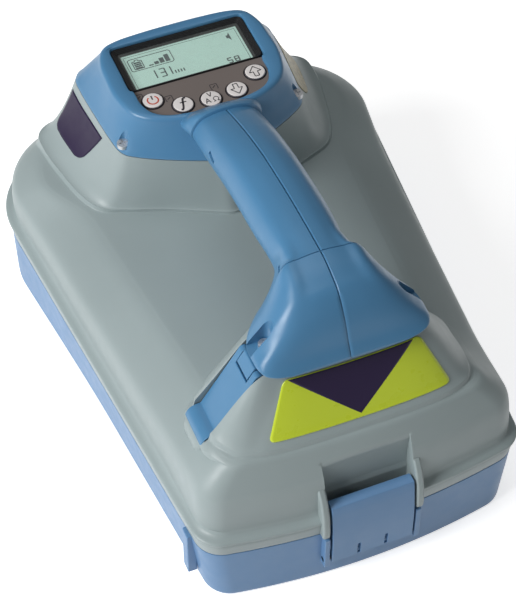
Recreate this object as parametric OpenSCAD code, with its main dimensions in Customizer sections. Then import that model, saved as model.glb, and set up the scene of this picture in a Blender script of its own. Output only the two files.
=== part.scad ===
// Signal transmitter box of a cable locating set.
// A tapered case with a carrying handle and a display stands on a latched accessory tray.

/* [Case] */
// Height of the seam between tray and case above the ground
seam_z = 39; // [37:0.5:41]
// Room between the battery pack and the seam at mid length
side_room = 29.6; // [28:0.2:31]
// Growth of the half width per mm of length towards the rear
taper = 0.0925; // [0.088:0.0005:0.096]
// Wall thickness of the mouldings
wall = 3; // [2.8:0.1:3.2]
// Radius of the front corners seen from above
front_corner_r = 15; // [13:0.5:17]
// Radius of the rear corners seen from above
rear_corner_r = 46; // [43:1:48]
// Gap between the tray rim and the case rim
rim_gap = 0.3; // [0.3:0.05:0.45]
// Thickness of the plate that closes the case below
base_plate_t = 3; // [2.6:0.1:3.2]

/* [Display] */
// Diameter of the key caps
key_d = 12.1; // [11.6:0.1:12.4]
// Gap around each key cap
key_gap = 0.35; // [0.3:0.05:0.4]
// Travel of each key
key_travel = 0.8; // [0.6:0.1:0.9]
// Width of the visible liquid crystal area
lcd_w = 67.4; // [66:0.2:68]
// Depth of the visible liquid crystal area
lcd_d = 28; // [27:0.2:28.4]

/* [Latch] */
// Width of the latch plate
latch_w = 42; // [41:0.2:42.4]
// Thickness of the latch plate
latch_t = 2.6; // [2.2:0.1:2.8]
// Diameter of the latch pin
latch_pin_d = 3; // [2.8:0.1:3.1]
// Radial running fit of the hinges
running_fit = 0.06; // [0.03:0.01:0.08]

/* [Hinges] */
// Diameter of the rear hinge pins
hinge_pin_d = 3; // [2.8:0.1:3.1]
// Side gap between hinge knuckles
knuckle_gap = 0.4; // [0.3:0.05:0.5]
// Diameter of the pin of the socket cover
cover_pin_d = 2.4; // [2.2:0.1:2.5]

/* [Batteries] */
// Diameter of one round cell
cell_d = 33; // [32.2:0.1:33.4]
// Length of one round cell
cell_l = 61; // [60:0.2:61.4]

/* [View] */
// Piece to draw, or all of them

/* [Hidden] */

case_grey = [0.66, 0.71, 0.71];
tool_blue = [0.30, 0.52, 0.72];
tray_blue = [0.43, 0.57, 0.75];
black = [0.10, 0.10, 0.11];
dark = [0.22, 0.23, 0.24];
steel = [0.75, 0.76, 0.78];
board_green = [0.10, 0.36, 0.22];
copper = [0.75, 0.42, 0.22];
$fn = 48;

// Battery pack
cell_pitch = cell_d + 1;
pack_y = 2;
cradle_t = 2;
spring_l = 4;
cell_gap = 0.2;
pack_w = 4 * cell_pitch + 2 * cradle_t;
pack_l = 2 * cell_l + 2 * spring_l + 2 * cradle_t;
door_t = 1.8;
door_rim = 6;
plate_z = seam_z + 2.5;
cell_z = plate_z + cradle_t + cell_d / 2;

// Plan of the case at the seam
half_width = pack_w / 2 + side_room;
front_y = pack_y - pack_l / 2 - 84.2;
rear_y = pack_y + pack_l / 2 + 77;
front_bow = 395;
rear_bow = 1500;

// Levels
head_gap = 0.5;
deck_rear_z = plate_z + cradle_t + cell_d + head_gap + wall;
deck_z = deck_rear_z + 14.5;
wall_h = 16;
wall_z = seam_z + wall_h;
tower_z = deck_rear_z + 36.2;
mound_z = deck_z + 36.5;
rim_in = 4;
seal_t = 2;
seal_w = 2.5;
seal_top = plate_z + base_plate_t + seal_t;

// Rear hinge
hinge_y = rear_y + 3.9;
hinge_z = seam_z;
knuckle_r = 3.2;
hinge_x = 42;
hook_l = 16;
lug_l = 6;
hinge_pad_y = rear_y + 0.6;

// Latch
latch_y = front_y - 1;
latch_z = seam_z - 20.5;
latch_top = seam_z + 21.5;
latch_barrel_r = 2.9;
latch_gap = 0.4;
latch_back = front_y + 6;
scoop_r = 60;
rib_in = latch_w / 2 + knuckle_gap + 2.2;
rib_t = 3;
ear_t = 4.2;
block_x = rib_in + 6;
block_y = front_y + 9.7;

// Socket cover on the left flank of the front mound
flank_a = 31.6;
flank_at = [46 - half_width, front_y + 51.2, mound_z - 23.5];
cover_x = 21.5;
cover_z = 2.6;
cover_barrel_r = 2.5;
pad_w = 17.2;
cover_w = 21.2;
bracket_w = 12.8;
bracket_x = 15.2;
notch_x = bracket_x - knuckle_gap;
plug_x = 4.6;
charge_x = -10.8;

// Display stack, from the top
rim_top_z = tower_z + 21.9;
floor_top = rim_top_z - 4.4;
floor_t = 2;
floor_z = floor_top - floor_t;
panel_t = 2;
cap_t = 1.6;
cap_z = floor_top + 1.3;
stem_d = 5;
board_z = floor_top - 10.8;
board_t = 1.6;
dome_h = 1.6;
key_at = [[-29.3, 78.8], [-15.3, 70.1], [0, 68.6], [15.3, 70.1], [29.3, 78.8]];
frame_w = lcd_w + 8.6;
frame_d = lcd_d + 4.4;
panel_rear = 88.6;
window_y = panel_rear + 0.4 + frame_d / 2;

// Half widths and rear ends of the outlines
recess_x = max(frame_w / 2 + 0.6, key_at[4][0] + key_d / 2 + 3.25);
recess_rear = window_y + frame_d / 2 + 2;
bezel_x = recess_x + 9.4;
bezel_rear = recess_rear + 7.6;
tower_x = recess_x + 19;
tower_rear = rear_y - 7.6;
foot_x = half_width - 17.6;
foot_rear = rear_y - 6.4;
mound_x = half_width - 57.1;
skirt_x = half_width - 32.6;

// Main board
main_z = plate_z + base_plate_t + 9;
main_w = 128;
main_l = 52;
main_y = pack_y + pack_l / 2 + 11 + main_l / 2;
post_at = [for (sy = [-1, 1]) for (sx = [-1, 1]) [sx * (main_w / 2 - 6), main_y + sy * (main_l / 2 - 6)]];
rod_y = pack_y - pack_l / 2 - 31;
rod_z = plate_z + 22;
rod_r = 6;
base_screw_in = 12.2;
base_screw_at = [for (y = [-100, -10, 84]) for (s = [-1, 1])
    [s * (half_width + taper * y - base_screw_in), y]];

housing_screw_at = [recess_x + 11.6, 69.6];
handle_screw_at = [mound_x - 5.9, -96];
grip_w = 20;
pocket_r = 4;
screw_d = 3.4;
label_t = 0.5;

function lerp(a, b, t) = a + (b - a) * t;
function mirrored(p) = [-p[0], p[1]];
function spline(a, b, c, d, t) =
    0.5 * (2 * b + (c - a) * t + (2 * a - 5 * b + 4 * c - d) * t * t + (3 * b - a - 3 * c + d) * t * t * t);

// Smooth right half of a symmetric outline through its control points
function half_curve(c, k) = let (n = len(c)) concat(
    [for (i = [0:n - 2]) for (j = [0:k - 1])
        spline(i == 0 ? mirrored(c[1]) : c[i - 1], c[i], c[i + 1],
            i == n - 2 ? mirrored(c[n - 2]) : c[i + 2], j / k)],
    [c[n - 1]]);
function both(h) = concat(h, [for (i = [len(h) - 2:-1:1]) mirrored(h[i])]);
function at_z(ring, z) = [for (p = ring) [p[0], p[1], z]];
function blend(a, b, t) = [for (i = [0:len(a) - 1]) lerp(a[i], b[i], t)];
// Outline fitted to a half width and a rear end
function fitted(c, w, rear) = let (m = max([for (p = c) p[0]]), e = c[len(c) - 1][1], y0 = 95)
    [for (p = c) [p[0] * w / m, p[1] < y0 ? p[1] : y0 + (p[1] - y0) * (rear - y0) / (e - y0)]];
function widened(c, w) = let (m = max([for (p = c) p[0]])) [for (p = c) [p[0] * w / m, p[1]]];
function grown(c, d, y) = [for (p = c) p + d * (p - [0, y]) / max(1, norm(p - [0, y]))];

// Corner of the tapered plan: centre and the angle where the bowed edge takes over
function corner_try(ds, edge, r, bow, s, yc) =
    let (x = half_width - ds + taper * yc - r * sqrt(1 + taper * taper), a = asin(x / bow),
        xt = x + r * sin(a))
    [x, edge - s * xt * xt / (2 * bow) - s * r * cos(a), a];
function corner(ds, edge, r, bow, s) =
    let (c = corner_try(ds, edge, r, bow, s, edge - s * r), d = corner_try(ds, edge, r, bow, s, c[1]))
    corner_try(ds, edge, r, bow, s, d[1]);

// Right half of the plan, set in by ds at the sides, df at the front and dr at the rear
function plan_half(ds, df, dr, rf, rr) =
    let (f = corner(ds, front_y + df, rf, front_bow, -1), b = corner(ds, rear_y - dr, rr, rear_bow, 1),
        sa = -atan(taper), fx = f[0] + rf * sin(f[2]), bx = b[0] + rr * sin(b[2]),
        p = [f[0] + rf * cos(sa), f[1] + rf * sin(sa)], q = [b[0] + rr * cos(sa), b[1] + rr * sin(sa)])
    concat(
        [for (i = [0:4]) [fx * i / 5, front_y + df + pow(fx * i / 5, 2) / (2 * front_bow)]],
        [for (i = [0:6]) let (a = lerp(f[2] - 90, sa, i / 6)) [f[0] + rf * cos(a), f[1] + rf * sin(a)]],
        [for (i = [1:3]) lerp(p, q, i / 4)],
        [for (i = [0:8]) let (a = lerp(sa, 90 - b[2], i / 8)) [b[0] + rr * cos(a), b[1] + rr * sin(a)]],
        [for (i = [1:5]) let (x = bx * (1 - i / 5)) [x, rear_y - dr - x * x / (2 * rear_bow)]]);
function plan(ds, df, dr, rf, rr) = both(plan_half(ds, df, dr, rf, rr));
function inset(d) = plan(d, d, d, max(front_corner_r - d, 5), rear_corner_r - d);

// Closed skin over rings of equal length, with flat ends
module skin(rings) {
    n = len(rings[0]);
    m = len(rings);
    sides = [for (i = [0:m - 2]) for (j = [0:n - 1]) let (a = i * n + j, b = i * n + (j + 1) % n)
        each [[a, a + n, b + n], [a, b + n, b]]];
    ends = [[for (j = [0:n - 1]) j], [for (j = [n - 1:-1:0]) (m - 1) * n + j]];
    polyhedron([for (r = rings) each r], concat(ends, sides), convexity = 10);
}

// A moulding with freely curved walls, kept as one mesh
module moulded() {
    $fn = 24;
    resize([0, 0, 0]) children();
}

module cyl_x(r, l) {
    rotate([0, 90, 0]) cylinder(r = r, h = l, center = true);
}

module cyl_y(r, l) {
    rotate([90, 0, 0]) cylinder(r = r, h = l, center = true);
}

module both_sides() {
    children();
    mirror([1, 0, 0]) children();
}

// Hole for a screw thread, touching it all round
module pilot(h) {
    cylinder(d = screw_d / cos(180 / $fn), h = h);
}

module box(x, y, z) {
    translate([x[0], y[0], z[0]]) cube([x[1] - x[0], y[1] - y[0], z[1] - z[0]]);
}

// Frame on the left flank of the mound: x runs up the flank, z points out of it
module on_flank() {
    translate(flank_at) rotate([0, flank_a - 90, 0]) children();
}

// Outer wall of the case: inset at side, front and rear, then height
wall_rows = [[0.8, 0.8, 0.8, 0], [0, 0, 0, 0.8], [-0.5, -0.5, -0.5, 5], [0.9, 0.9, 0.9, 5.9],
    [-1, -1, -1, 6.9], [-2.2, -2.2, -2.2, 8.8], [-2, -2, -2, 10.8], [-0.4, -0.4, -0.4, 12.4],
    [1.6, 1.6, 1.6, 13.3], [3, 3, 2.2, 16]];
slope_rows = [[13, 5.6, 4, 0.37], [22.5, 8.6, 6, 0.72], [26, 10, 7, 0.85], [29.5, 11.8, 8.6, 0.93],
    [34, 14.5, 11, 0.97], [42, 20, 16, 0.99], [60, 40, 36, 1]];

// The top of the case falls from the front towards the tower
function deck_at(y) = lerp(deck_z, deck_rear_z, min(1, (y + 135) / 170)) + max(0, y - 70) * 0.12;
function case_ring(r, z) = at_z(plan(r[0], r[1], r[2], front_corner_r, rear_corner_r), z);
function slope_ring(r, drop) =
    [for (p = plan(r[0], r[1], r[2], front_corner_r + r[3] * 9, rear_corner_r - r[3] * 31))
        [p[0], p[1], lerp(wall_z, deck_at(p[1]), r[3]) - drop]];

module body_outer() {
    skin(concat([for (r = wall_rows) case_ring(r, seam_z + r[3])],
        [for (r = slope_rows) slope_ring(r, 0)]));
}

module body_inner() {
    in = [wall * 0.8, wall * 0.97, wall * 0.97, 0];
    skin(concat([at_z(inset(rim_in), seam_z - 1), at_z(inset(rim_in), seam_z + 14)],
        [for (i = [0, 2]) slope_ring(slope_rows[i] + in, wall * 0.4)],
        [slope_ring([36, 18, 14, 0.97], wall), slope_ring([60, 40, 36, 1], wall)]));
}

// Tower under the display: outline where the housing stands, and at its foot
tower_top = half_curve(fitted([[0, 40], [10, 43.6], [30, 52.3], [46, 61], [52.5, 67.5], [54.8, 80],
    [56.3, 98], [57.6, 119], [56.6, 130], [49, 136], [26, 138], [0, 138.4]], tower_x, tower_rear), 2);
tower_foot = half_curve(fitted([[0, 34], [12, 38.6], [34, 49.4], [54, 57], [67, 63.5], [74, 76], [78.5, 95],
    [82, 117], [80, 131], [66, 137.4], [34, 139.2], [0, 139.6]], foot_x, foot_rear), 2);

tower_drop = tower_z - deck_rear_z - 2.7;
tower_levels = [for (d = [46.7, 33.5, 31.7, 27.1, 20.1, 11.1]) tower_z - d];

// How far the tower has flared out to its foot at the height z
function tower_flare(z) = 1 - pow(max(0, 1 - (tower_z - z) / tower_drop), 0.55);
function tower_ring(z, d) = at_z(both(grown(blend(tower_top, tower_foot, tower_flare(z)), -d, 95)), z);

module tower(d, levels, top) {
    skin([for (z = levels) tower_ring(z, d), at_z(both(grown(tower_top, -d, 95)), top)]);
}

// Mound under the front end of the handle
mound_top = half_curve(widened([[0, -110.6], [14, -110.4], [28, -109.8], [37, -108], [41.5, -103.5],
    [42.5, -94], [41, -82], [36.5, -71.5], [29, -65.5], [18, -63.5], [0, -63]], mound_x), 2);
mound_foot = half_curve(widened([[0, -131], [20, -130.8], [40, -129.8], [53, -127.6], [62.5, -122.5],
    [66.5, -110], [67, -92], [66, -74], [59, -65], [40, -61.5], [0, -60.5]], skirt_x), 2);

mound_drop = mound_z - deck_z + 0.5;
mound_levels = [for (d = [51.5, 36.5, 34.5, 32.1, 28.5]) mound_z - d];

function mound_ring(z, d) = at_z(both(grown(blend(mound_top, mound_foot,
    min(1, (mound_z - z) / mound_drop + pow(max(0, mound_z - 30.5 - z) / 45, 2))), -d, -92)), z);

module mound(d, levels, top) {
    skin([for (z = levels) mound_ring(z, d), at_z(both(grown(mound_top, -d, -92)), top)]);
}

// Handle: each station is y, underside and top above the mound, then half width and relative height
// of three side points
handle_stations = [
    [48, -9.9, 16.9, 13.5, 0.2, 19, 0.55, 15, 0.86],
    [24, -6.5, 25.7, 14, 0.2, 20, 0.55, 15.5, 0.86],
    [0, -3, 32, 14, 0.2, 20, 0.55, 15.5, 0.86],
    [-20, -0.5, 34.7, 14, 0.2, 20, 0.55, 15.5, 0.86],
    [-39, 0.9, 36.3, 14, 0.2, 20, 0.55, 15.5, 0.86],
    [-56, 1.3, 37, 14.5, 0.2, 19.6, 0.55, 15.5, 0.86],
    [-63, 0, 37.1, 18, 0.12, 19.6, 0.5, 15.5, 0.86],
    [-68, 0, 37.1, 29, 0.07, 22, 0.42, 15.6, 0.86],
    [-75, 0, 37, 38, 0.05, 28, 0.36, 15.7, 0.86],
    [-84, 0, 35.8, 43, 0.05, 34, 0.33, 15.8, 0.86],
    [-92, 0, 33.5, 44.6, 0.05, 36, 0.33, 15.8, 0.86],
    [-98, 0, 30.7, 45, 0.05, 36, 0.33, 15.6, 0.86],
    [-104, 0, 24.1, 44.8, 0.07, 36, 0.36, 16, 0.87],
    [-108.5, 0, 16.7, 44.2, 0.12, 37, 0.42, 18, 0.88],
    [-112.5, 0, 8, 42, 0.2, 37, 0.5, 20, 0.9],
    [-115, 0, 3.7, 37, 0.3, 33, 0.6, 20, 0.9],
    [-116.2, 0, 1.5, 30, 0.35, 27, 0.65, 18, 0.9]];

// Half widths beyond the grip follow the mound
function foot_w(w) = w < grip_w ? w : grip_w + (w - grip_w) * (mound_x - grip_w) / 22.5;

function handle_half(s, d) =
    let (b = mound_z + s[1] + d, h = mound_z + s[2] - d - b, w1 = foot_w(s[3]) - d, w2 = foot_w(s[5]) - d)
    [for (p = half_curve([[0, b], [0.6 * w1, b + 0.01 * h], [w1, b + s[4] * h], [w2, b + s[6] * h],
        [s[7] - d, b + s[8] * h], [0.55 * (s[7] - d), b + 0.97 * h],
        [0, b + h]], 2))
        [p[0], s[0], p[1]]];

module handle_side() {
    skin([for (s = handle_stations) handle_half(s, 0)]);
}

module handle_hollow() {
    skin([for (i = [0:13]) let (s = handle_stations[i], y = i == 0 ? 1 : 0, h = handle_half(s, wall))
        concat([[-1, s[0] + y, h[0][2]]], [for (p = h) p + [0, y, 0]],
            [[-1, s[0] + y, h[len(h) - 1][2]]])]);
}

module handle_shell() {
    difference() {
        handle_side();
        difference() {
            handle_hollow();
            translate([handle_screw_at[0], handle_screw_at[1], mound_z]) cylinder(r = pocket_r + 2, h = 40);
        }
        translate([handle_screw_at[0], handle_screw_at[1], mound_z + wall]) cylinder(r = pocket_r, h = 40);
        translate([handle_screw_at[0], handle_screw_at[1], mound_z - 1]) cylinder(r = 1.9, h = 10);
    }
}

// Display housing on the tower
housing_top = half_curve(fitted([[0, 55], [14, 56.8], [30, 61.8], [39.5, 67.5], [45, 75.5], [48, 90],
    [47.8, 104], [46.8, 115], [42.5, 125], [34, 129], [18, 130.6], [0, 131]], bezel_x, bezel_rear), 2);
recess = half_curve(fitted([[0, 61], [14, 62], [26, 64.5], [33, 69.5], [36.3, 77.5], [36.6, 84],
    [36.8, 87.6], [38.6, 90.2], [38.6, 104], [38.6, 113], [38.2, 121.6], [34, 123.2], [18, 123.4],
    [0, 123.4]], recess_x, recess_rear), 2);

module housing_solid() {
    skin([at_z(both(tower_top), tower_z), at_z(both(blend(tower_top, housing_top, 0.12)), tower_z + 2.4),
        at_z(both(blend(tower_top, housing_top, 0.92)), rim_top_z - 4.6),
        at_z(both(housing_top), rim_top_z - 2.6),
        at_z(both(grown(housing_top, -0.9, 95)), rim_top_z - 0.9),
        at_z(both(grown(housing_top, -2.6, 95)), rim_top_z)]);
}

// Neck that leads from the bezel up to the handle
neck_stations = [[62, -8.5, 6.5, 12, 0.2, 18, 0.6, 15, 0.86],
    [55, -9.5, 11.7, 13, 0.2, 19.2, 0.56, 15.2, 0.86],
    [48, -9.9, 17.3, 13.5, 0.2, 19.4, 0.55, 15.4, 0.86]];

module ring_solid(stations) {
    skin([for (s = stations) let (h = handle_half(s, 0))
        concat(h, [for (i = [len(h) - 2:-1:1]) [-h[i][0], h[i][1], h[i][2]]])]);
}

module housing_hollow() {
    skin([at_z(both(grown(tower_top, -wall, 95)), tower_z - 1),
        at_z(both(grown(blend(tower_top, housing_top, 0.08), -wall, 95)), tower_z + 2),
        at_z(both(grown(blend(tower_top, housing_top, 0.8), -wall, 95)), floor_z - 2)]);
    skin([for (z = [floor_z - 4, floor_z + 1]) at_z(both(grown(recess, -1.4, 95)), z)]);
    skin([at_z(both(recess), floor_z), at_z(both(recess), rim_top_z - 0.8),
        at_z(both(grown(recess, 0.9, 95)), rim_top_z + 0.1)]);
}

module accessory_tray() {
    top = seam_z - rim_gap;
    color(tray_blue) moulded() difference() {
        union() {
            skin([at_z(inset(2.4), 0), at_z(inset(1), 0.5), at_z(inset(0.3), 1.5), at_z(inset(0), 3.5),
                at_z(inset(0), top)]);
            both_sides() {
                box([rib_in, rib_in + rib_t], [latch_y - 2.6, front_y + 4], [latch_z - 5, top - 0.8]);
                box([half_width - 122 * taper - 3, half_width - 122 * taper + 2], [-125, -118], [5, top]);
                for (s = [-1, 1]) translate([hinge_x + s * (hook_l + lug_l + 2 * knuckle_gap) / 2, 0, 0]) {
                    translate([0, hinge_y, hinge_z]) cyl_x(knuckle_r, lug_l);
                    box([-lug_l / 2, lug_l / 2], [rear_y - 2, hinge_y + 2], [hinge_z - 10, hinge_z - 1.2]);
                }
            }
        }
        difference() {
            skin([at_z(inset(wall + 8), wall), at_z(inset(wall + 2.4), wall + 1),
                at_z(inset(wall + 1), wall + 4), at_z(inset(wall), 14), at_z(inset(wall), top + 1)]);
            box([-rib_in - rib_t, rib_in + rib_t], [front_y - 10, front_y + 5 + wall], [0, seam_z]);
        }
        box([-rib_in, rib_in], [front_y - 10, front_y + 4.2], [latch_z - 6, seam_z + 1]);
        translate([0, latch_y, latch_z]) cyl_x(latch_pin_d / 2 / cos(180 / $fn), 3 * rib_in);
        translate([0, hinge_y, hinge_z]) cyl_x(hinge_pin_d / 2 / cos(180 / $fn), 200);
    }
}

module latch_pin() {
    color(steel) translate([0, latch_y, latch_z]) cyl_x(latch_pin_d / 2, 2 * (rib_in + rib_t));
}

module hinge_pins() {
    color(steel) both_sides() translate([hinge_x, hinge_y, hinge_z])
        cyl_x(hinge_pin_d / 2, hook_l + 2 * lug_l + 2 * knuckle_gap);
}

module latch_plate() {
    out = latch_y - latch_barrel_r;
    color(tray_blue) difference() {
        union() {
            rotate([90, 0, 90]) linear_extrude(latch_w, center = true) polygon([[out, latch_z - 2],
                [out + latch_t, latch_z - 2], [out + latch_t, seam_z + 2.5],
                [out + latch_t + 2.4, latch_top - 3.4], [latch_back - latch_gap, latch_top - 3.4],
                [latch_back - latch_gap, latch_top - 1],
                [out + 4.6, latch_top], [out + 2.8, latch_top - 1.6], [out + 0.6, seam_z + 4.5]]);
            translate([0, latch_y, latch_z]) cyl_x(latch_barrel_r, latch_w);
        }
        translate([0, latch_y, latch_z]) cyl_x(latch_pin_d / 2 + running_fit, latch_w + 2);
        both_sides() box([7.4, 8.8], [out - 1, out + latch_t + 0.1], [latch_z + 3.2, latch_z + 7.6]);
    }
}

module upper_case() {
    color(case_grey) moulded() difference() {
        union() {
            difference() {
                union() {
                    body_outer();
                    tower(0, tower_levels, tower_z);
                    mound(0, mound_levels, mound_z);
                }
                on_flank() box([-22.5, 26], [-cover_w / 2 - 0.5, cover_w / 2 + 0.5], [-1.4, 20]);
            }
            both_sides() {
                latch_ear();
                box([hinge_x - hook_l / 2, hinge_x + hook_l / 2], [rear_y - 4, hinge_pad_y],
                    [seam_z + 0.8, seam_z + 6]);
            }
            on_flank() {
                box([-17.4, 19], [-pad_w / 2, pad_w / 2], [-8, 0]);
            }
            translate([28.7 - half_width, front_y + 52.7, wall_z + 20.2]) sphere(r = 4.6, $fn = 14);
        }
        difference() {
            union() {
                body_inner();
                tower(wall, [for (d = [50.7, 32.7, 22.7, 10.7]) tower_z - d], tower_z + 1);
                mound(wall, [for (d = [53.5, 37.5]) mound_z - d], mound_z - wall);
            }
            box([-block_x, block_x], [front_y - 5, block_y], [seam_z - 2, deck_z]);
            box([-block_x, block_x], [front_y - 5, front_y + 19], [seal_top, deck_z]);
            both_sides() {
                translate([housing_screw_at[0], housing_screw_at[1], tower_z - 16]) cylinder(r = 5, h = 20);
                translate([handle_screw_at[0], handle_screw_at[1], mound_z - 16]) cylinder(r = 5, h = 20);
            }
            for (p = base_screw_at)
                translate([p[0], p[1], plate_z + base_plate_t]) cylinder(r = 4.5, h = 60, $fn = 24);
            on_flank() box([-26, 29], [-cover_w / 2 - 3, cover_w / 2 + 3], [-5, 6]);
        }
        translate([0, front_y + 12.2 - scoop_r, latch_top + 9.5])
            cyl_x(scoop_r, 2 * rib_in + 0.6, $fn = 96);
        box([-rib_in - 0.3, rib_in + 0.3], [front_y - 10, latch_back], [seam_z - 2, latch_top]);
        both_sides() {
            translate([housing_screw_at[0], housing_screw_at[1], tower_z - 14]) pilot(20);
            translate([handle_screw_at[0], handle_screw_at[1], mound_z - 14]) pilot(20);
        }
        for (p = base_screw_at) translate([p[0], p[1], plate_z]) pilot(14);
        on_flank() {
            translate([plug_x, 0, -30]) cylinder(d = 13.8, h = 40);
            translate([charge_x, 0, -30]) cylinder(d = 8.8, h = 40);
        }
    }
}

// Guard beside the latch, running from the wall down to the seam
module latch_ear() {
    rotate([90, 0, 90]) translate([front_y, seam_z, rib_in]) linear_extrude(ear_t)
        polygon([[13.2, 4], [3.2, 0.2], [-3.4, 0.2], [-3.6, 6], [-2.4, 16], [0.6, 25], [4.4, 31], [7.6, 33],
            [13.2, 31]]);
}

module hinge_hooks() {
    color(dark) both_sides() translate([hinge_x, 0, 0]) difference() {
        union() {
            translate([0, hinge_y, hinge_z]) cyl_x(knuckle_r, hook_l);
            box([-hook_l / 2, hook_l / 2], [hinge_pad_y, hinge_y], [seam_z + 1, seam_z + 5.6]);
        }
        translate([0, hinge_y, hinge_z]) cyl_x(hinge_pin_d / 2 + running_fit, hook_l + 2);
    }
}

// Inside of the case rim, cut back in front where the latch block stands
module floor_outline(in, back) {
    difference() {
        polygon(inset(in));
        translate([-block_x - back, front_y - 10])
            square([2 * (block_x + back), block_y + back - front_y + 10]);
    }
}

module base_plate() {
    color(dark) difference() {
        union() {
            translate([0, 0, plate_z]) linear_extrude(base_plate_t) floor_outline(rim_in, 0);
            for (p = post_at) translate([p[0], p[1], plate_z]) cylinder(d = 8, h = main_z - plate_z);
            for (x = [-44, 44]) box([x - 3, x + 3], [rod_y - 10, rod_y + 10], [plate_z, rod_z]);
        }
        box([-pack_w / 2 - 0.5, pack_w / 2 + 0.5], [pack_y - pack_l / 2 - 0.5, pack_y + pack_l / 2 + 0.5],
            [plate_z - 1, plate_z + 5]);
        for (p = base_screw_at) translate([p[0], p[1], plate_z - 1]) cylinder(d = 4, h = 6);
        for (p = post_at) translate([p[0], p[1], main_z - 7]) cylinder(d = 2.6, h = 10);
        for (p = door_screw_at) translate([p[0], p[1], plate_z - 1]) cylinder(d = screw_d, h = 6);
        translate([0, rod_y, rod_z]) cyl_x(rod_r, 140);
    }
}

module case_seal() {
    color(black) translate([0, 0, plate_z + base_plate_t]) linear_extrude(seal_t) difference() {
        floor_outline(rim_in, 0);
        floor_outline(rim_in + seal_w, seal_w);
    }
}

module pan_screw(d, head_d, head_h, l) {
    difference() {
        union() {
            cylinder(d = head_d, h = head_h);
            translate([0, 0, -l]) cylinder(d = d, h = l + 0.1);
        }
        for (a = [0, 90]) rotate(a) translate([0, 0, head_h]) cube([head_d * 0.6, 0.9, 1.6], center = true);
    }
}

module base_screws() {
    color(steel) for (p = base_screw_at) translate([p[0], p[1], plate_z]) rotate([180, 0, 0])
        pan_screw(screw_d, 6.4, 1.8, 12);
}

door_screw_at = [for (s = [-1, 1]) [0, pack_y + s * (pack_l / 2 + 5)]];

module battery_door() {
    color(dark) difference() {
        box([-pack_w / 2 - door_rim, pack_w / 2 + door_rim],
            [pack_y - pack_l / 2 - 10, pack_y + pack_l / 2 + 10],
            [plate_z - door_t, plate_z]);
        for (p = door_screw_at) translate([p[0], p[1], plate_z - 5]) cylinder(d = 3.6, h = 10);
    }
}

module door_screws() {
    color(steel) for (p = door_screw_at) translate([p[0], p[1], plate_z - door_t]) rotate([180, 0, 0])
        difference() {
            union() {
                cylinder(d = 11, h = 0.5);
                translate([0, 0, -door_t - base_plate_t])
                    cylinder(d = screw_d, h = door_t + base_plate_t + 0.1);
            }
            cube([8, 1.2, 0.8], center = true);
        }
}

module battery_cradle() {
    color(black) difference() {
        translate([0, pack_y, plate_z]) box([-pack_w / 2, pack_w / 2], [-pack_l / 2, pack_l / 2],
            [0, cradle_t + cell_d * 0.62]);
        for (i = [0:3]) translate([(i - 1.5) * cell_pitch, pack_y, cell_z]) {
            cyl_y(cell_d / 2, pack_l - 2 * cradle_t);
            box([-cell_d / 2, cell_d / 2], [-pack_l / 2 + cradle_t, pack_l / 2 - cradle_t], [0, cell_d]);
        }
    }
}

module battery_cells() {
    color([0.15, 0.16, 0.18]) for (i = [0:3]) for (s = [-1, 1])
        translate([(i - 1.5) * cell_pitch, pack_y + s * cell_l / 2, cell_z])
            rotate([90 * (i % 2 == 0 ? -1 : 1), 0, 0]) translate([0, 0, -cell_l / 2]) {
                cylinder(d = cell_d, h = cell_l - 1.6);
                cylinder(d = 9.5, h = cell_l - cell_gap);
            }
}

module contact_plates() {
    color(steel) for (i = [0:3]) {
        s = i % 2 == 0 ? 1 : -1;
        translate([(i - 1.5) * cell_pitch, pack_y + s * (cell_l + spring_l / 2), cell_z])
            box([-8, 8], [-spring_l / 2, spring_l / 2], [-8, 8]);
    }
}

module contact_springs() {
    color(steel) for (i = [0:3]) {
        s = i % 2 == 0 ? -1 : 1;
        translate([(i - 1.5) * cell_pitch, pack_y + s * (cell_l + spring_l / 2), cell_z]) rotate([90, 0, 0])
            difference() {
                cylinder(d1 = s < 0 ? 13 : 18, d2 = s < 0 ? 18 : 13, h = spring_l, center = true);
                cylinder(d = 9, h = spring_l + 1, center = true);
            }
    }
}

module main_board() {
    color(board_green) difference() {
        translate([0, main_y, main_z])
            box([-main_w / 2, main_w / 2], [-main_l / 2, main_l / 2], [0, board_t]);
        for (p = post_at) translate([p[0], p[1], main_z - 1]) cylinder(d = 2.8, h = 4);
    }
}

module board_screws() {
    color(steel) for (p = post_at) translate([p[0], p[1], main_z + board_t]) pan_screw(2.6, 5, 1.6, 8);
}

module output_transformer() {
    color(copper) translate([26 - main_w / 2, main_y, main_z + board_t]) rotate_extrude()
        polygon([[7, 2], [9, 0], [21, 0], [23, 2], [23, 17], [21, 19], [9, 19], [7, 17]]);
}

module capacitors() {
    color([0.16, 0.18, 0.30]) for (i = [0:2])
        translate([main_w / 2 - 48 + i * 14, main_y - 14, main_z + board_t])
        cylinder(d = 11, h = 20);
}

module wireless_module() {
    color([0.70, 0.71, 0.72]) box([main_w / 2 - 50, main_w / 2 - 30], [main_y + 6, main_y + 20],
        [main_z + board_t, main_z + board_t + 2.6]);
}

module sounder() {
    color(black) translate([main_w / 2 - 18, main_y + 6, main_z + board_t]) difference() {
        cylinder(d = 16, h = 9);
        translate([0, 0, 7]) cylinder(d = 2.4, h = 4);
    }
}

module ferrite_rod() {
    color([0.20, 0.20, 0.21]) translate([0, rod_y, rod_z]) cyl_x(rod_r, 116);
}

module induction_coil() {
    color(copper) translate([0, rod_y, rod_z]) difference() {
        union() {
            cyl_x(10, 62);
            for (s = [-1, 1]) translate([s * 32, 0, 0]) cyl_x(12.5, 2);
        }
        cyl_x(rod_r, 80);
    }
}

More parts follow.
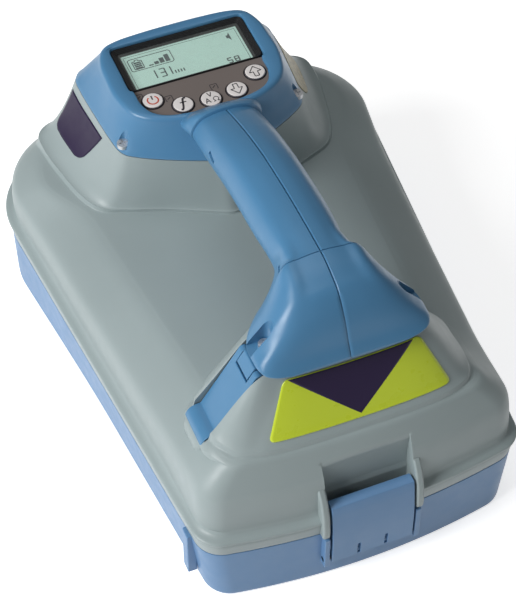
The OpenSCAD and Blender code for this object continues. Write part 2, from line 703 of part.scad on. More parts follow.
module round_socket(flange, barrel, bore, deep) {
    difference() {
        union() {
            cylinder(d = flange, h = 2);
            translate([0, 0, -15]) cylinder(d = barrel, h = 15.5);
        }
        translate([0, 0, 2 - deep]) cylinder(d = bore, h = deep + 1);
    }
    translate([0, 0, -14]) cylinder(d = 2, h = 13);
}

module output_socket() {
    color(dark) on_flank() translate([plug_x, 0, 0]) round_socket(16, 13, 9, 14);
}

module charger_socket() {
    color(black) on_flank() translate([charge_x, 0, 0]) round_socket(11, 8, 5.6, 14);
}

module cover_pin() {
    color(steel) on_flank() translate([cover_x, 0, cover_z]) cyl_y(cover_pin_d / 2, cover_w);
}

// Tongue under the handle's foot that the cover hangs from
module cover_bracket() {
    color(tool_blue) on_flank() difference() {
        rotate([90, 0, 0]) linear_extrude(bracket_w, center = true)
            polygon([[bracket_x, 0], [25.9, 0], [25.9, 2.2], [24, cover_z + 2.5],
                [bracket_x + 1.3, cover_z + 2.5], [bracket_x, cover_z + 1.2]]);
        translate([cover_x, 0, cover_z]) cyl_y(cover_pin_d / 2, cover_w);
    }
}

// Flap with two arms on the hinge pin and a nose to lift it by
module socket_cover() {
    slot = bracket_w / 2 + knuckle_gap;
    color(tool_blue) on_flank() difference() {
        union() {
            rotate([90, 0, 0]) linear_extrude(cover_w, center = true)
                polygon([[notch_x, 0.5], [notch_x, 4.8], [-17.5, 4.8], [-19.8, 7.2], [-23.6, 9], [-28, 9],
                    [-32, 6.8], [-34.6, 3.4], [-32.6, 2.4], [-30.4, 5], [-27.6, 6.8], [-24, 6.8],
                    [-21.4, 5.4], [-19.6, 2.6], [-19.6, 0.5]]);
            for (s = [-1, 1]) translate([0, s * (slot + cover_w / 2) / 2, 0]) {
                translate([cover_x, 0, cover_z]) cyl_y(cover_barrel_r, cover_w / 2 - slot);
                box([notch_x - 2, cover_x], [slot / 2 - cover_w / 4, cover_w / 4 - slot / 2], [0.6, 5]);
            }
        }
        box([-18.2, notch_x - 1.8], [-pad_w / 2 - 0.4, pad_w / 2 + 0.4], [-1, 3.2]);
        box([notch_x - 3, notch_x + 1], [-pad_w / 2 - 0.4, pad_w / 2 + 0.4], [-1, 0.9]);
        translate([cover_x, 0, cover_z]) cyl_y(cover_pin_d / 2 + running_fit, cover_w + 2);
    }
}

module handle_left() {
    color(tool_blue) moulded() mirror([1, 0, 0]) handle_shell();
}

module handle_right() {
    color(tool_blue) moulded() handle_shell();
}

module handle_screws() {
    color(steel) both_sides() translate([handle_screw_at[0], handle_screw_at[1], mound_z + wall])
        pan_screw(screw_d, 6.6, 2.4, 14);
}

module display_housing() {
    color(tool_blue) moulded() difference() {
        union() {
            housing_solid();
            ring_solid(neck_stations);
        }
        difference() {
            housing_hollow();
            both_sides() translate([housing_screw_at[0], housing_screw_at[1], tower_z])
                cylinder(r = pocket_r + 1.8, h = 12);
        }
        ring_solid(handle_stations);
        both_sides() translate([housing_screw_at[0], housing_screw_at[1], tower_z]) {
            translate([0, 0, 2.6]) cylinder(r = pocket_r, h = 30);
            translate([0, 0, -1]) cylinder(r = 1.9, h = 10);
        }
    }
}

module housing_screws() {
    color(steel) both_sides() translate([housing_screw_at[0], housing_screw_at[1], tower_z + 2.6])
        pan_screw(screw_d, 6.6, 2.4, 14);
}

module display_carrier() {
    color(black) translate([0, 0, floor_z]) difference() {
        linear_extrude(floor_t) polygon(both(recess));
        for (p = key_at) translate([p[0], p[1], -1]) cylinder(d = stem_d + 2 * key_gap, h = floor_t + 2);
        translate([0, window_y, 0])
            box([-lcd_w / 2, lcd_w / 2], [-lcd_d / 2, lcd_d / 2], [-1, floor_t + 1]);
    }
}

module keypad_panel() {
    front = [for (p = recess) if (p[1] < panel_rear - 0.2) p];
    edge = concat(front, [[recess[len(front)][0], panel_rear], [0, panel_rear]]);
    color([0.45, 0.42, 0.39]) translate([0, 0, floor_top]) difference() {
        linear_extrude(panel_t) polygon(both(edge));
        for (p = key_at) translate([p[0], p[1], -1]) cylinder(d = key_d + 2 * key_gap, h = panel_t + 2);
    }
}

module window_frame() {
    color(black) translate([0, window_y, floor_top]) difference() {
        box([-frame_w / 2, frame_w / 2], [-frame_d / 2, frame_d / 2], [0, 2.4]);
        box([-lcd_w / 2 - 1.2, lcd_w / 2 + 1.2], [-lcd_d / 2 - 1.2, lcd_d / 2 + 1.2], [-1, 4]);
    }
}

module window_pane() {
    color([0.85, 0.92, 0.90, 0.4]) translate([0, window_y, floor_top])
        box([-lcd_w / 2 - 1.2, lcd_w / 2 + 1.2], [-lcd_d / 2 - 1.2, lcd_d / 2 + 1.2], [0, 0.8]);
}

module lcd_module() {
    color([0.72, 0.83, 0.76]) translate([0, window_y, 0]) {
        box([-lcd_w / 2 - 1.9, lcd_w / 2 + 1.9], [-lcd_d / 2 - 2.2, lcd_d / 2 + 2.2],
            [board_z + board_t, floor_z]);
        box([-lcd_w / 2, lcd_w / 2], [-lcd_d / 2, lcd_d / 2], [floor_z - 1, floor_top - 0.4]);
    }
}

module display_board() {
    color(board_green) box([-lcd_w / 2 - 2.3, lcd_w / 2 + 2.3], [64, window_y + lcd_d / 2 + 2.8],
        [board_z, board_z + board_t]);
}

module dome_switches() {
    color(steel) for (p = key_at) translate([p[0], p[1], board_z + board_t])
        cylinder(d1 = 7, d2 = 4, h = dome_h);
}

module ribbon_cable() {
    color([0.62, 0.62, 0.60]) box([-4, 12], [main_y - main_l / 2 + 1.2, main_y - main_l / 2 + 2],
        [main_z + board_t, board_z]);
}

module key(i) {
    foot = board_z + board_t + dome_h + key_travel + 0.4;
    color([0.90, 0.88, 0.86]) translate([key_at[i][0], key_at[i][1], 0]) {
        translate([0, 0, cap_z]) cylinder(d = key_d, h = cap_t - 0.4);
        translate([0, 0, cap_z + cap_t - 0.4]) cylinder(d1 = key_d, d2 = key_d - 0.8, h = 0.4);
        translate([0, 0, foot]) cylinder(d = stem_d, h = cap_z - foot + 0.2);
    }
}

module key_power() key(0);
module key_frequency() key(1);
module key_measure() key(2);
module key_down() key(3);
module key_up() key(4);

// Label on the sloping front of the mound
module front_label() {
    color([0.72, 0.85, 0.15]) moulded() intersection() {
        difference() {
            mound(-label_t, mound_levels, mound_z);
            mound(0, mound_levels, mound_z + 1);
        }
        translate([0, -100, 0]) rotate([90, 0, 0]) linear_extrude(60)
            polygon(both([[0, mound_z - 32.5], [mound_x + 4.5, mound_z - 32.5], [mound_x + 7, mound_z - 30.5],
                [mound_x - 6.8, mound_z - 6.5], [mound_x - 8.5, mound_z - 5.2], [0, mound_z - 5.2]]));
    }
}

// Label on a flank of the tower
module flank_label() {
    moulded() intersection() {
        difference() {
            tower(-label_t, tower_levels, tower_z);
            tower(0, tower_levels, tower_z + 1);
        }
        translate([30, 0, tower_z]) rotate([90, 0, 90]) linear_extrude(60)
            polygon([[99, -22.7], [126, -22.7], [128, -20.7], [127, -4.7], [87, -4.7], [96, -21.3]]);
    }
}

module left_label() {
    color([0.22, 0.14, 0.34]) mirror([1, 0, 0]) flank_label();
}

module right_label() {
    color([0.80, 0.79, 0.66]) flank_label();
}

accessory_tray();
latch_pin();
hinge_pins();
latch_plate();
upper_case();
hinge_hooks();
base_plate();
case_seal();
base_screws();
battery_door();
door_screws();
battery_cradle();
battery_cells();
contact_plates();
contact_springs();
main_board();
board_screws();
output_transformer();
capacitors();
wireless_module();
sounder();
ferrite_rod();
induction_coil();
output_socket();
charger_socket();
cover_pin();
cover_bracket();
socket_cover();
handle_left();
handle_right();
handle_screws();
display_housing();
housing_screws();
display_carrier();
keypad_panel();
window_frame();
window_pane();
lcd_module();
display_board();
dome_switches();
ribbon_cable();
key_power();
key_frequency();
key_measure();
key_down();
key_up();
front_label();
left_label();
right_label();
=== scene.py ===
import math

import bmesh
import bpy
import numpy as np
from mathutils import Matrix, Vector


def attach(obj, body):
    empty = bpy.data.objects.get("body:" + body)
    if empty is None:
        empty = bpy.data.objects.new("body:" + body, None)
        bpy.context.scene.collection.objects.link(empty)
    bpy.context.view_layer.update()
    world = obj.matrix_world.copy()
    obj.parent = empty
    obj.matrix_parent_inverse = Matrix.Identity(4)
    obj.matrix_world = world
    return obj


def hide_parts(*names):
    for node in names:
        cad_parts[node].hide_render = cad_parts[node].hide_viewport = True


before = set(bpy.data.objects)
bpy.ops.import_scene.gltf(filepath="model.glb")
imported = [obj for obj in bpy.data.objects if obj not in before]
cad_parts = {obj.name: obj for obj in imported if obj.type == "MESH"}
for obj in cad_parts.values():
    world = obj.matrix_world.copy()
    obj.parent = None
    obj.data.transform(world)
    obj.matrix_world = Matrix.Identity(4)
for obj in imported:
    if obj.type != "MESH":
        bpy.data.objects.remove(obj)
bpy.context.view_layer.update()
mm = 0.001
# heights are drawn from a level this far above the floor
datum = 1.5


def spread(rows, k, before=None, after=None):
    # Catmull-Rom curve through the rows with k points per span
    rows = np.asarray(rows, float)
    first = 2 * rows[0] - rows[1] if before is None else before
    last = 2 * rows[-1] - rows[-2] if after is None else after
    p = np.vstack([first, rows, last])
    u = np.linspace(0, len(rows) - 1, (len(rows) - 1) * k + 1)
    i = np.minimum(u.astype(int), len(rows) - 2)
    t = (u - i)[:, None]
    a, b, c, d = p[i], p[i + 1], p[i + 2], p[i + 3]
    return b + 0.5 * t * (c - a + t * (2 * a - 5 * b + 4 * c - d + t * (3 * b - a - 3 * c + d)))


def halfOutline(points, k):
    # right half from the front to the rear, mirrored at both ends
    p = np.asarray(points, float)
    return spread(p, k, p[1] * [-1, 1], p[-2] * [-1, 1])


def resampled(line, n):
    # the same line with n points at even steps of its length
    at = np.concatenate([[0], np.cumsum(np.linalg.norm(np.diff(line, axis=0), axis=1))])
    t = np.linspace(0, at[-1], n)
    return np.column_stack([np.interp(t, at, line[:, i]) for i in range(line.shape[1])])


def whole(half):
    # right half to the rear, then its mirror image back to the front
    back = half[-2:0:-1].copy()
    back[:, 0] *= -1
    return np.vstack([half, back])


def grown(outline, d, centre):
    # each point moved away from the centre by d
    away = outline - np.array(centre)
    return outline + d * away / np.linalg.norm(away, axis=1)[:, None]


def atZ(outline, z):
    # flat outline raised to one height, or to a height for each point
    return np.column_stack([outline, np.broadcast_to(z, len(outline))])


def softMax(a, b, k):
    # larger of two heights, with the crease between them rounded over k
    h = np.clip(0.5 + 0.5 * (a - b) / k, 0, 1)
    return b + (a - b) * h + k * h * (1 - h)


def lift(a, soft):
    # a where it is above zero, eased to zero below
    return 0.5 * (a + np.sqrt(a * a + soft * soft))


def surface(grid, wrap=True, flip=False):
    # four-sided faces over a grid of points, rows up and columns counter-clockwise
    grid = np.asarray(grid, float)
    rows, cols = grid.shape[:2]
    i, j = np.meshgrid(np.arange(rows - 1), np.arange(cols if wrap else cols - 1), indexing="ij")
    a = i * cols + j
    b = i * cols + (j + 1) % cols
    faces = np.stack([a, b, b + cols, a + cols], -1).reshape(-1, 4)
    return grid.reshape(-1, 3), (faces[:, ::-1] if flip else faces).tolist()


def loft(rings, start=True, end=True):
    # rings joined in order, with a flat face at either end
    verts, faces = surface(rings)
    cols = len(rings[0])
    if start:
        faces.append(list(range(cols))[::-1])
    if end:
        faces.append(list(range(len(verts) - cols, len(verts))))
    return verts, faces


def prism(outline, low, high, frameOf=None):
    # flat outline drawn out between two heights, then placed by the frame
    o = np.asarray(outline, float)
    rings = np.stack([atZ(o, low), atZ(o, high)])
    if frameOf is not None:
        rings = frameOf(rings)
    return loft(rings)


def sideways(rings):
    # outline drawn in depth and height, drawn out along the width
    return rings[..., [2, 0, 1]]


def box(x, y, z, frameOf=None):
    # block between two values on each axis
    return prism([[x[0], y[0]], [x[1], y[0]], [x[1], y[1]], [x[0], y[1]]], z[0], z[1], frameOf)


def arc(centre, r, a, b, n):
    # n points on a circle from the angle a to the angle b
    t = np.radians(np.linspace(a, b, n))
    return np.column_stack([centre[0] + r * np.cos(t), centre[1] + r * np.sin(t)])


def turned(profile, n, centre=(0, 0)):
    # radius and height pairs turned round an upright axis
    p = np.asarray(profile, float)
    t = np.linspace(0, 2 * math.pi, n, endpoint=False)
    rings = np.stack([centre[0] + p[:, :1] * np.cos(t), centre[1] + p[:, :1] * np.sin(t),
                      np.repeat(p[:, 1:], n, axis=1)], -1)
    return loft(rings)


def stroke(path, width, low, high, frameOf=None):
    # thin plate that follows a path with a constant width
    p = np.asarray(path, float)
    along = np.gradient(p, axis=0)
    along /= np.linalg.norm(along, axis=1)[:, None]
    side = np.column_stack([-along[:, 1], along[:, 0]]) * width / 2
    return prism(np.vstack([p - side, (p + side)[::-1]]), low, high, frameOf)


def meshOf(name, parts):
    # one object from several surfaces, in metres, with double points merged
    verts = (np.vstack([v for v, f in parts]) + [0, 0, datum]) * mm
    faces, start = [], 0
    for v, f in parts:
        faces += [[start + i for i in face] for face in f]
        start += len(v)
    mesh = bpy.data.meshes.new(name)
    mesh.from_pydata(verts.tolist(), [], faces)
    shape = bmesh.new()
    shape.from_mesh(mesh)
    bmesh.ops.remove_doubles(shape, verts=shape.verts, dist=1e-7)
    bmesh.ops.dissolve_degenerate(shape, edges=shape.edges, dist=1e-8)
    shape.to_mesh(mesh)
    shape.free()
    piece = bpy.data.objects.new(name, mesh)
    bpy.context.scene.collection.objects.link(piece)
    return piece


def cutAway(piece, parts):
    # the parts taken out of the piece
    tool = meshOf("tool", parts)
    cut = piece.modifiers.new("cut", "BOOLEAN")
    cut.operation = "DIFFERENCE"
    cut.solver = "EXACT"
    cut.object = tool
    graph = bpy.context.evaluated_depsgraph_get()
    mesh = bpy.data.meshes.new_from_object(piece.evaluated_get(graph))
    piece.modifiers.clear()
    old = piece.data
    piece.data = mesh
    bpy.data.meshes.remove(old)
    bpy.data.meshes.remove(tool.data)


def makePiece(name, parts, body, material, replace=(), angle=32, bevel=0, cuts=(), film=0):
    # mesh with its cuts, finish, film and bevelled edges, tied to its body, with the CAD nodes that it stands
    # for hidden
    piece = meshOf(name, parts)
    for cut in cuts:
        cutAway(piece, cut)
    mesh = piece.data
    mesh.materials.clear()
    mesh.materials.append(material)
    mesh.shade_smooth()
    mesh.set_sharp_from_angle(angle=math.radians(angle))
    if film:
        plate = piece.modifiers.new("plate", "SOLIDIFY")
        plate.thickness = film * mm
    if bevel:
        edge = piece.modifiers.new("edge", "BEVEL")
        edge.width = bevel * mm
        edge.segments = 3
        edge.limit_method = "ANGLE"
        edge.angle_limit = math.radians(40)
        edge.harden_normals = True
    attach(piece, body)
    if replace:
        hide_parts(*replace)
    return piece


def srgb(r, g, b):
    # screen colour from 0 to 255, made linear
    v = np.array([r, g, b]) / 255
    return tuple(np.where(v <= 0.04045, v / 12.92, ((v + 0.055) / 1.055) ** 2.4)) + (1.0,)


def noiseNode(tree, coords, scale, detail):
    # cloud noise on the piece's own coordinates, with its scale in waves per metre
    n = tree.nodes.new("ShaderNodeTexNoise")
    n.inputs["Scale"].default_value = scale
    n.inputs["Detail"].default_value = detail
    tree.links.new(coords.outputs["Object"], n.inputs["Vector"])
    return n


def mixNode(tree, factor, a, b):
    # colour a where the factor is zero and b where it is one
    n = tree.nodes.new("ShaderNodeMix")
    n.data_type = "RGBA"
    tree.links.new(factor, n.inputs["Factor"])
    n.inputs["A"].default_value = a
    n.inputs["B"].default_value = b
    return n.outputs["Result"]


def rangeNode(tree, value, low, high, source=(0.3, 0.7)):
    # value carried from the source range over to low and high
    n = tree.nodes.new("ShaderNodeMapRange")
    tree.links.new(value, n.inputs["Value"])
    n.inputs["From Min"].default_value, n.inputs["From Max"].default_value = source
    n.inputs["To Min"].default_value = low
    n.inputs["To Max"].default_value = high
    return n.outputs["Result"]


def finish(name, color, rough, vary=0.05, grain=1400, depth=0.03, metal=0.0, coat=0.0, level=0.5, patch=14):
    # one finish: clouds in the colour, a mottled roughness and a fine grain as bump
    material = bpy.data.materials.new(name)
    material.use_nodes = True
    tree = material.node_tree
    shader = tree.nodes["Principled BSDF"]
    coords = tree.nodes.new("ShaderNodeTexCoord")
    c = np.array(color[:3])
    cloud = noiseNode(tree, coords, patch, 4)
    tree.links.new(mixNode(tree, rangeNode(tree, cloud.outputs["Fac"], 0, 1), tuple(c * (1 - vary)) + (1,),
                           tuple(np.minimum(c * (1 + vary), 1)) + (1,)), shader.inputs["Base Color"])
    spots = noiseNode(tree, coords, 160, 3)
    tree.links.new(rangeNode(tree, spots.outputs["Fac"], rough - 0.05, rough + 0.05),
                   shader.inputs["Roughness"])
    fine = noiseNode(tree, coords, grain, 2)
    bump = tree.nodes.new("ShaderNodeBump")
    bump.inputs["Strength"].default_value = depth
    bump.inputs["Distance"].default_value = 0.0004
    tree.links.new(fine.outputs["Fac"], bump.inputs["Height"])
    tree.links.new(bump.outputs["Normal"], shader.inputs["Normal"])
    shader.inputs["Metallic"].default_value = metal
    shader.inputs["Coat Weight"].default_value = coat
    shader.inputs["Specular IOR Level"].default_value = level
    return material


def clearFinish(name):
    # pane: lets the light through and keeps a faint mottled gloss
    material = bpy.data.materials.new(name)
    material.use_nodes = True
    tree = material.node_tree
    out = tree.nodes["Material Output"]
    shader = tree.nodes["Principled BSDF"]
    shader.inputs["Base Color"].default_value = srgb(235, 245, 240)
    coords = tree.nodes.new("ShaderNodeTexCoord")
    spots = noiseNode(tree, coords, 90, 3)
    tree.links.new(rangeNode(tree, spots.outputs["Fac"], 0.12, 0.2), shader.inputs["Roughness"])
    clear = tree.nodes.new("ShaderNodeBsdfTransparent")
    mix = tree.nodes.new("ShaderNodeMixShader")
    tree.links.new(rangeNode(tree, spots.outputs["Fac"], 0.05, 0.08), mix.inputs["Fac"])
    tree.links.new(clear.outputs["BSDF"], mix.inputs[1])
    tree.links.new(shader.outputs["BSDF"], mix.inputs[2])
    tree.links.new(mix.outputs["Shader"], out.inputs["Surface"])
    return material


caseGrey = finish("caseGrey", srgb(152, 165, 166), 0.42, vary=0.03)
toolBlue = finish("toolBlue", srgb(75, 128, 168), 0.36, vary=0.035)
trayBlue = finish("trayBlue", srgb(99, 139, 181), 0.42, vary=0.035)
blackPlastic = finish("blackPlastic", srgb(30, 30, 32), 0.45, vary=0.15, depth=0.05)
panelGrey = finish("panelGrey", srgb(112, 103, 99), 0.55, vary=0.05, grain=2600, depth=0.05)
keyWhite = finish("keyWhite", srgb(226, 221, 219), 0.35, vary=0.02, grain=2400)
inkDark = finish("inkDark", srgb(48, 44, 50), 0.5, vary=0.1)
inkRed = finish("inkRed", srgb(190, 72, 48), 0.5, vary=0.08)
lcdMint = finish("lcdMint", srgb(190, 226, 214), 0.3, vary=0.03, grain=3000, depth=0.02)
lcdInk = finish("lcdInk", srgb(50, 66, 68), 0.5, vary=0.06)
labelLime = finish("labelLime", srgb(200, 218, 52), 0.3, vary=0.04, coat=0.2)
labelViolet = finish("labelViolet", srgb(38, 26, 60), 0.42, vary=0.08, level=0.25)
labelPale = finish("labelPale", srgb(176, 168, 138), 0.42, vary=0.3, level=0.3, patch=420)
# latch pin steel made dark: painted shade for the dark slots at the pin ends, in place of a bright steel
# colour
pinShadedSteel = finish("pinShadedSteel", srgb(86, 90, 98), 0.55, vary=0.08, grain=900, metal=0.6)
brightSteel = finish("brightSteel", srgb(221, 222, 224), 0.4, vary=0.03, grain=900, metal=0.9)
rubber = finish("rubber", srgb(34, 34, 35), 0.7, vary=0.1, depth=0.06)
boardGreen = finish("boardGreen", srgb(40, 110, 72), 0.4, vary=0.1)
copper = finish("copper", srgb(190, 112, 62), 0.35, vary=0.12, metal=0.8)
cellJacket = finish("cellJacket", srgb(70, 74, 84), 0.3, vary=0.08, metal=0.3)
sleeveBlue = finish("sleeveBlue", srgb(48, 56, 90), 0.4, vary=0.08)
ferriteDark = finish("ferriteDark", srgb(62, 62, 66), 0.6, vary=0.15)
ribbonGrey = finish("ribbonGrey", srgb(176, 176, 172), 0.5, vary=0.06)
paneClear = clearFinish("paneClear")
print("finishes made")

# plan of the case: bowed front and rear, tapered sides, round corners
plan = {"halfWidth": 99.6, "taper": 0.0925, "frontY": -149.2, "rearY": 146.0, "frontBow": 395.0,
        "rearBow": 1500.0, "frontCorner": 15.0, "rearCorner": 46.0, "slotX": 23.9}


def corner(ds, edge, r, bow, side):
    # centre and angle of the arc that touches the side and the bowed end
    y = edge - side * r
    for _ in range(3):
        x = plan["halfWidth"] - ds + plan["taper"] * y - r * math.hypot(1, plan["taper"])
        a = math.asin(x / bow)
        y = edge - side * ((x + r * math.sin(a)) ** 2 / (2 * bow) + r * math.cos(a))
    return x, y, math.degrees(a)


def planHalf(ds, df, dr, rf, rr):
    # right half of the plan, set in at the side, front and rear: bow, arc, straight flank, arc, bow
    fx, fy, fa = corner(ds, plan["frontY"] + df, rf, plan["frontBow"], -1)
    bx, by, ba = corner(ds, plan["rearY"] - dr, rr, plan["rearBow"], 1)
    side = -math.degrees(math.atan(plan["taper"]))
    end = fx + rf * math.sin(math.radians(fa))
    slot = plan["slotX"] * min(1, end / 30)
    x = np.concatenate([np.linspace(0, slot - 0.6, 16), [slot - 0.2, slot], np.linspace(slot, end, 25)[1:-1]])
    front = np.column_stack([x, plan["frontY"] + df + x * x / (2 * plan["frontBow"])])
    turnFront = arc((fx, fy), rf, fa - 90, side, 17)
    turnRear = arc((bx, by), rr, side, 90 - ba, 29)
    t = np.linspace(0, 1, 74)[1:-1, None]
    flank = turnFront[-1] + (turnRear[0] - turnFront[-1]) * t
    x = np.linspace(turnRear[-1][0], 0, 34)[1:]
    rear = np.column_stack([x, plan["rearY"] - dr - x * x / (2 * plan["rearBow"])])
    return np.vstack([front, turnFront, flank, turnRear, rear])


# upper case: rows of the inner rim by offset and height, of the wall by offset and height over the seam,
# and of the shoulder by offset and share of the rise
shell = {"seamZ": 37.5, "wallZ": 53.5, "deckFront": 93.0, "deckRear": 78.5,
         "rim": [[4.4, 43.0], [4.2, 38.6], [3.6, 37.6]],
         "wall": [[0.8, 0.8, 0.8, 0], [0, 0, 0, 0.8], [-0.7, -0.7, -0.7, 8.2], [0.7, 0.7, 0.7, 9],
                  [-1.2, -1.2, -1.2, 9.8], [-1.8, -1.8, -1.8, 11], [-1.4, -1.4, -1.4, 12.2],
                  [0.9, 0.9, 0.9, 13.2], [2.3, 2.3, 1.8, 14.3], [3, 3, 2.2, 16]],
         "shoulder": [[3, 3, 2.2, 0], [3.6, 3.8, 2.8, 0.22], [4.6, 5, 3.6, 0.42], [6, 6.4, 5, 0.54],
                      [8.6, 8.2, 6.6, 0.63], [14, 10.4, 8.6, 0.735], [20, 12.6, 10.6, 0.835],
                      [26, 14.6, 12.6, 0.925], [31, 17, 14.6, 0.975], [37, 20.5, 18, 0.995], [60, 40, 36, 1]],
         "before": [1.6, 1.6, 1.6, -0.07], "frontTurn": 9.0, "rearTurn": -31.0,
         "deckFrom": -135.0, "deckLength": 170.0, "rise": 0.12, "riseFrom": 70.0}


def deckAt(y):
    # deck falls from the front to the display tower and rises a little behind it
    fall = 1 - lift(1 - (y - shell["deckFrom"]) / shell["deckLength"], 0.12)
    behind = shell["rise"] * lift(y - shell["riseFrom"], 12)
    return shell["deckFront"] + (shell["deckRear"] - shell["deckFront"]) * fall + behind


# corners: fuller in plan at both ends, and rounder in height at the rear
fore = {"from": -82.0, "to": -130.0, "side": 0.55, "corner": 0.0}
rear = {"from": 52.0, "to": 121.0, "side": 0.6, "back": 0.8, "corner": 8.0, "bulge": 0.2, "drop": 0.16}


def ease(t):
    # smooth step from zero to one
    t = np.clip(t, 0, 1)
    return t * t * (3 - 2 * t)


def rearShare(y):
    # nothing in front of the rear corners and one at the rear
    return ease((y - rear["from"]) / (rear["to"] - rear["from"]))


def shoulderZ(y, share):
    # height at a share of the rise from the wall to the deck, fuller and lower towards the rear
    share = share + rear["bulge"] * rearShare(y) * share * (1 - share)
    return shell["wallZ"] + (deckAt(y) - shell["wallZ"]) * share * (1 - rear["drop"] * rearShare(y))


def shoulderRing(row):
    # plan set in by the row, blended with fuller plans for the front and rear corners
    share = min(row[3], 1)
    radii = plan["frontCorner"] + share * shell["frontTurn"], plan["rearCorner"] + share * shell["rearTurn"]
    half = planHalf(row[0], row[1], row[2], *radii)
    front = planHalf(row[0] * fore["side"], row[1], row[2], plan["frontCorner"] + share * fore["corner"],
                     radii[1])
    back = planHalf(row[0] * rear["side"], row[1], row[2] * rear["back"], radii[0],
                    plan["rearCorner"] - share * rear["corner"])
    y = half[:, 1:]
    foreShare = ease((y - fore["from"]) / (fore["to"] - fore["from"]))
    half = half + (front - half) * foreShare + (back - half) * rearShare(y)
    return atZ(half, shoulderZ(half[:, 1], share))


wallRows = spread(shell["wall"], 5)
shoulderRows = spread(shell["shoulder"], 7, before=shell["before"])
shoulderRows[:, 3] = np.minimum(np.maximum.accumulate(shoulderRows[:, 3]), 1)
shoulderHalves = np.array([shoulderRing(row) for row in shoulderRows])

rayAngles = np.linspace(-math.pi, math.pi, 1441)


def rayRadius(half):
    # distance of a ring from the middle along each ray
    ring = whole(half[:, :2])
    angle = np.arctan2(ring[:, 1], ring[:, 0])
    order = np.argsort(angle)
    return np.interp(rayAngles, angle[order], np.hypot(ring[:, 0], ring[:, 1])[order], period=2 * math.pi)


rayTable = np.array([rayRadius(half) for half in shoulderHalves])


def bodyHeight(x, y):
    # height of the bare body, found between the shoulder's rings along a ray from the middle
    u = (np.arctan2(y, x) + math.pi) / (2 * math.pi) * (len(rayAngles) - 1)
    i = np.minimum(u.astype(int), len(rayAngles) - 2)
    r = rayTable[:, i] * (1 - (u - i)) + rayTable[:, i + 1] * (u - i)
    d = np.hypot(x, y)
    k = np.clip((r > d).sum(0) - 1, 0, len(r) - 2)
    n = np.arange(len(d))
    t = np.clip((r[k, n] - d) / np.maximum(r[k, n] - r[k + 1, n], 1e-6), 0, 1)
    return shoulderZ(y, shoulderRows[k, 3] * (1 - t) + shoulderRows[k + 1, 3] * t)


scoop = {"y": -197.0, "z": 68.5, "r": 60.0, "backZ": (42.5, 46.5), "back": (-145.2, -138.6), "ledge": 59.0,
         "soft": 2.0}


def scooped(ring):
    # finger scoop and latch recess, with a sill over the tray's pocket: points between the guards pushed back
    y, z = ring[:, 1], ring[:, 2]
    bowl = scoop["y"] + np.sqrt(np.maximum(scoop["r"] ** 2 - (z - scoop["z"]) ** 2, 0))
    back = np.where(z < scoop["ledge"], np.interp(z, scoop["backZ"], scoop["back"]), bowl)
    inside = (np.abs(ring[:, 0]) < plan["slotX"] - 0.1) & (y < 0)
    ring[:, 1] = np.where(inside, np.maximum(softMax(y, back, scoop["soft"]), back), y)
    return ring


def wallRing(row):
    # plan set in by the row, at the row's height over the seam
    half = planHalf(row[0], row[1], row[2], plan["frontCorner"], plan["rearCorner"])
    return atZ(half, shell["seamZ"] + row[3])


def rimRing(d, z):
    # plan set in evenly, for the lip inside the wall
    return atZ(planHalf(d, d, d, max(plan["frontCorner"] - d, 5), plan["rearCorner"] - d), z)


halves = [rimRing(d, z) for d, z in shell["rim"]]
halves += [wallRing(row) for row in wallRows]
halves += list(shoulderHalves[1:])
spine = halves[-1]
for f in (0.25, 0.5, 0.75, 1.0):
    row = spine * [1 - f, 1, 1]
    row[:, 2] = shoulderZ(row[:, 1], 1)
    halves.append(row)
bodyGrid = np.stack([scooped(whole(half)) for half in halves])

# socket cover on the mound's left flank, and the frame that it is drawn in
cover = {"at": (-53.6, -98.0, 106.0), "turn": 31.6, "half": 10.6, "hinge": (21.5, 2.6), "flush": 4.5,
         "gap": 0.45, "rear": (19.0, 6.5), "front": (30.0, 17.0), "upper": (44.0, 26.0),
         "lower": (38.0, 16.0), "inner": (7.0, 6.0), "seat": (-24.0, 40.0)}


def onFlank(rings):
    # local x runs up the flank, y to the rear and z away from it
    a = math.radians(cover["turn"])
    x, y, z = np.moveaxis(np.asarray(rings), -1, 0)
    return np.stack([cover["at"][0] + x * math.sin(a) - z * math.cos(a), cover["at"][1] + y,
                     cover["at"][2] + x * math.cos(a) + z * math.sin(a)], -1)


def onFlankAcross(rings):
    # outline in local x and z, drawn out along local y
    return onFlank(np.asarray(rings)[..., [0, 2, 1]] * [1, -1, 1])


def fade(side, d):
    # nothing at the far limit of a side, and the whole a given way inside it
    return ease((cover[side][0] + d) / cover[side][1])


def raised(ring):
    # left flank brought out level with the cover, fading away from it
    a = math.radians(cover["turn"])
    x, y, z = (ring - np.array(cover["at"])).T
    up = x * math.sin(a) + z * math.cos(a)
    out = z * math.sin(a) - x * math.cos(a)
    near = np.where(y > 0, fade("rear", -y), fade("front", y)) * (ring[:, 0] < 0)
    d = cover["flush"] * near * fade("upper", -up) * fade("lower", up) * fade("inner", out)
    return ring + d[:, None] * np.array([-math.cos(a), 0, math.sin(a)])


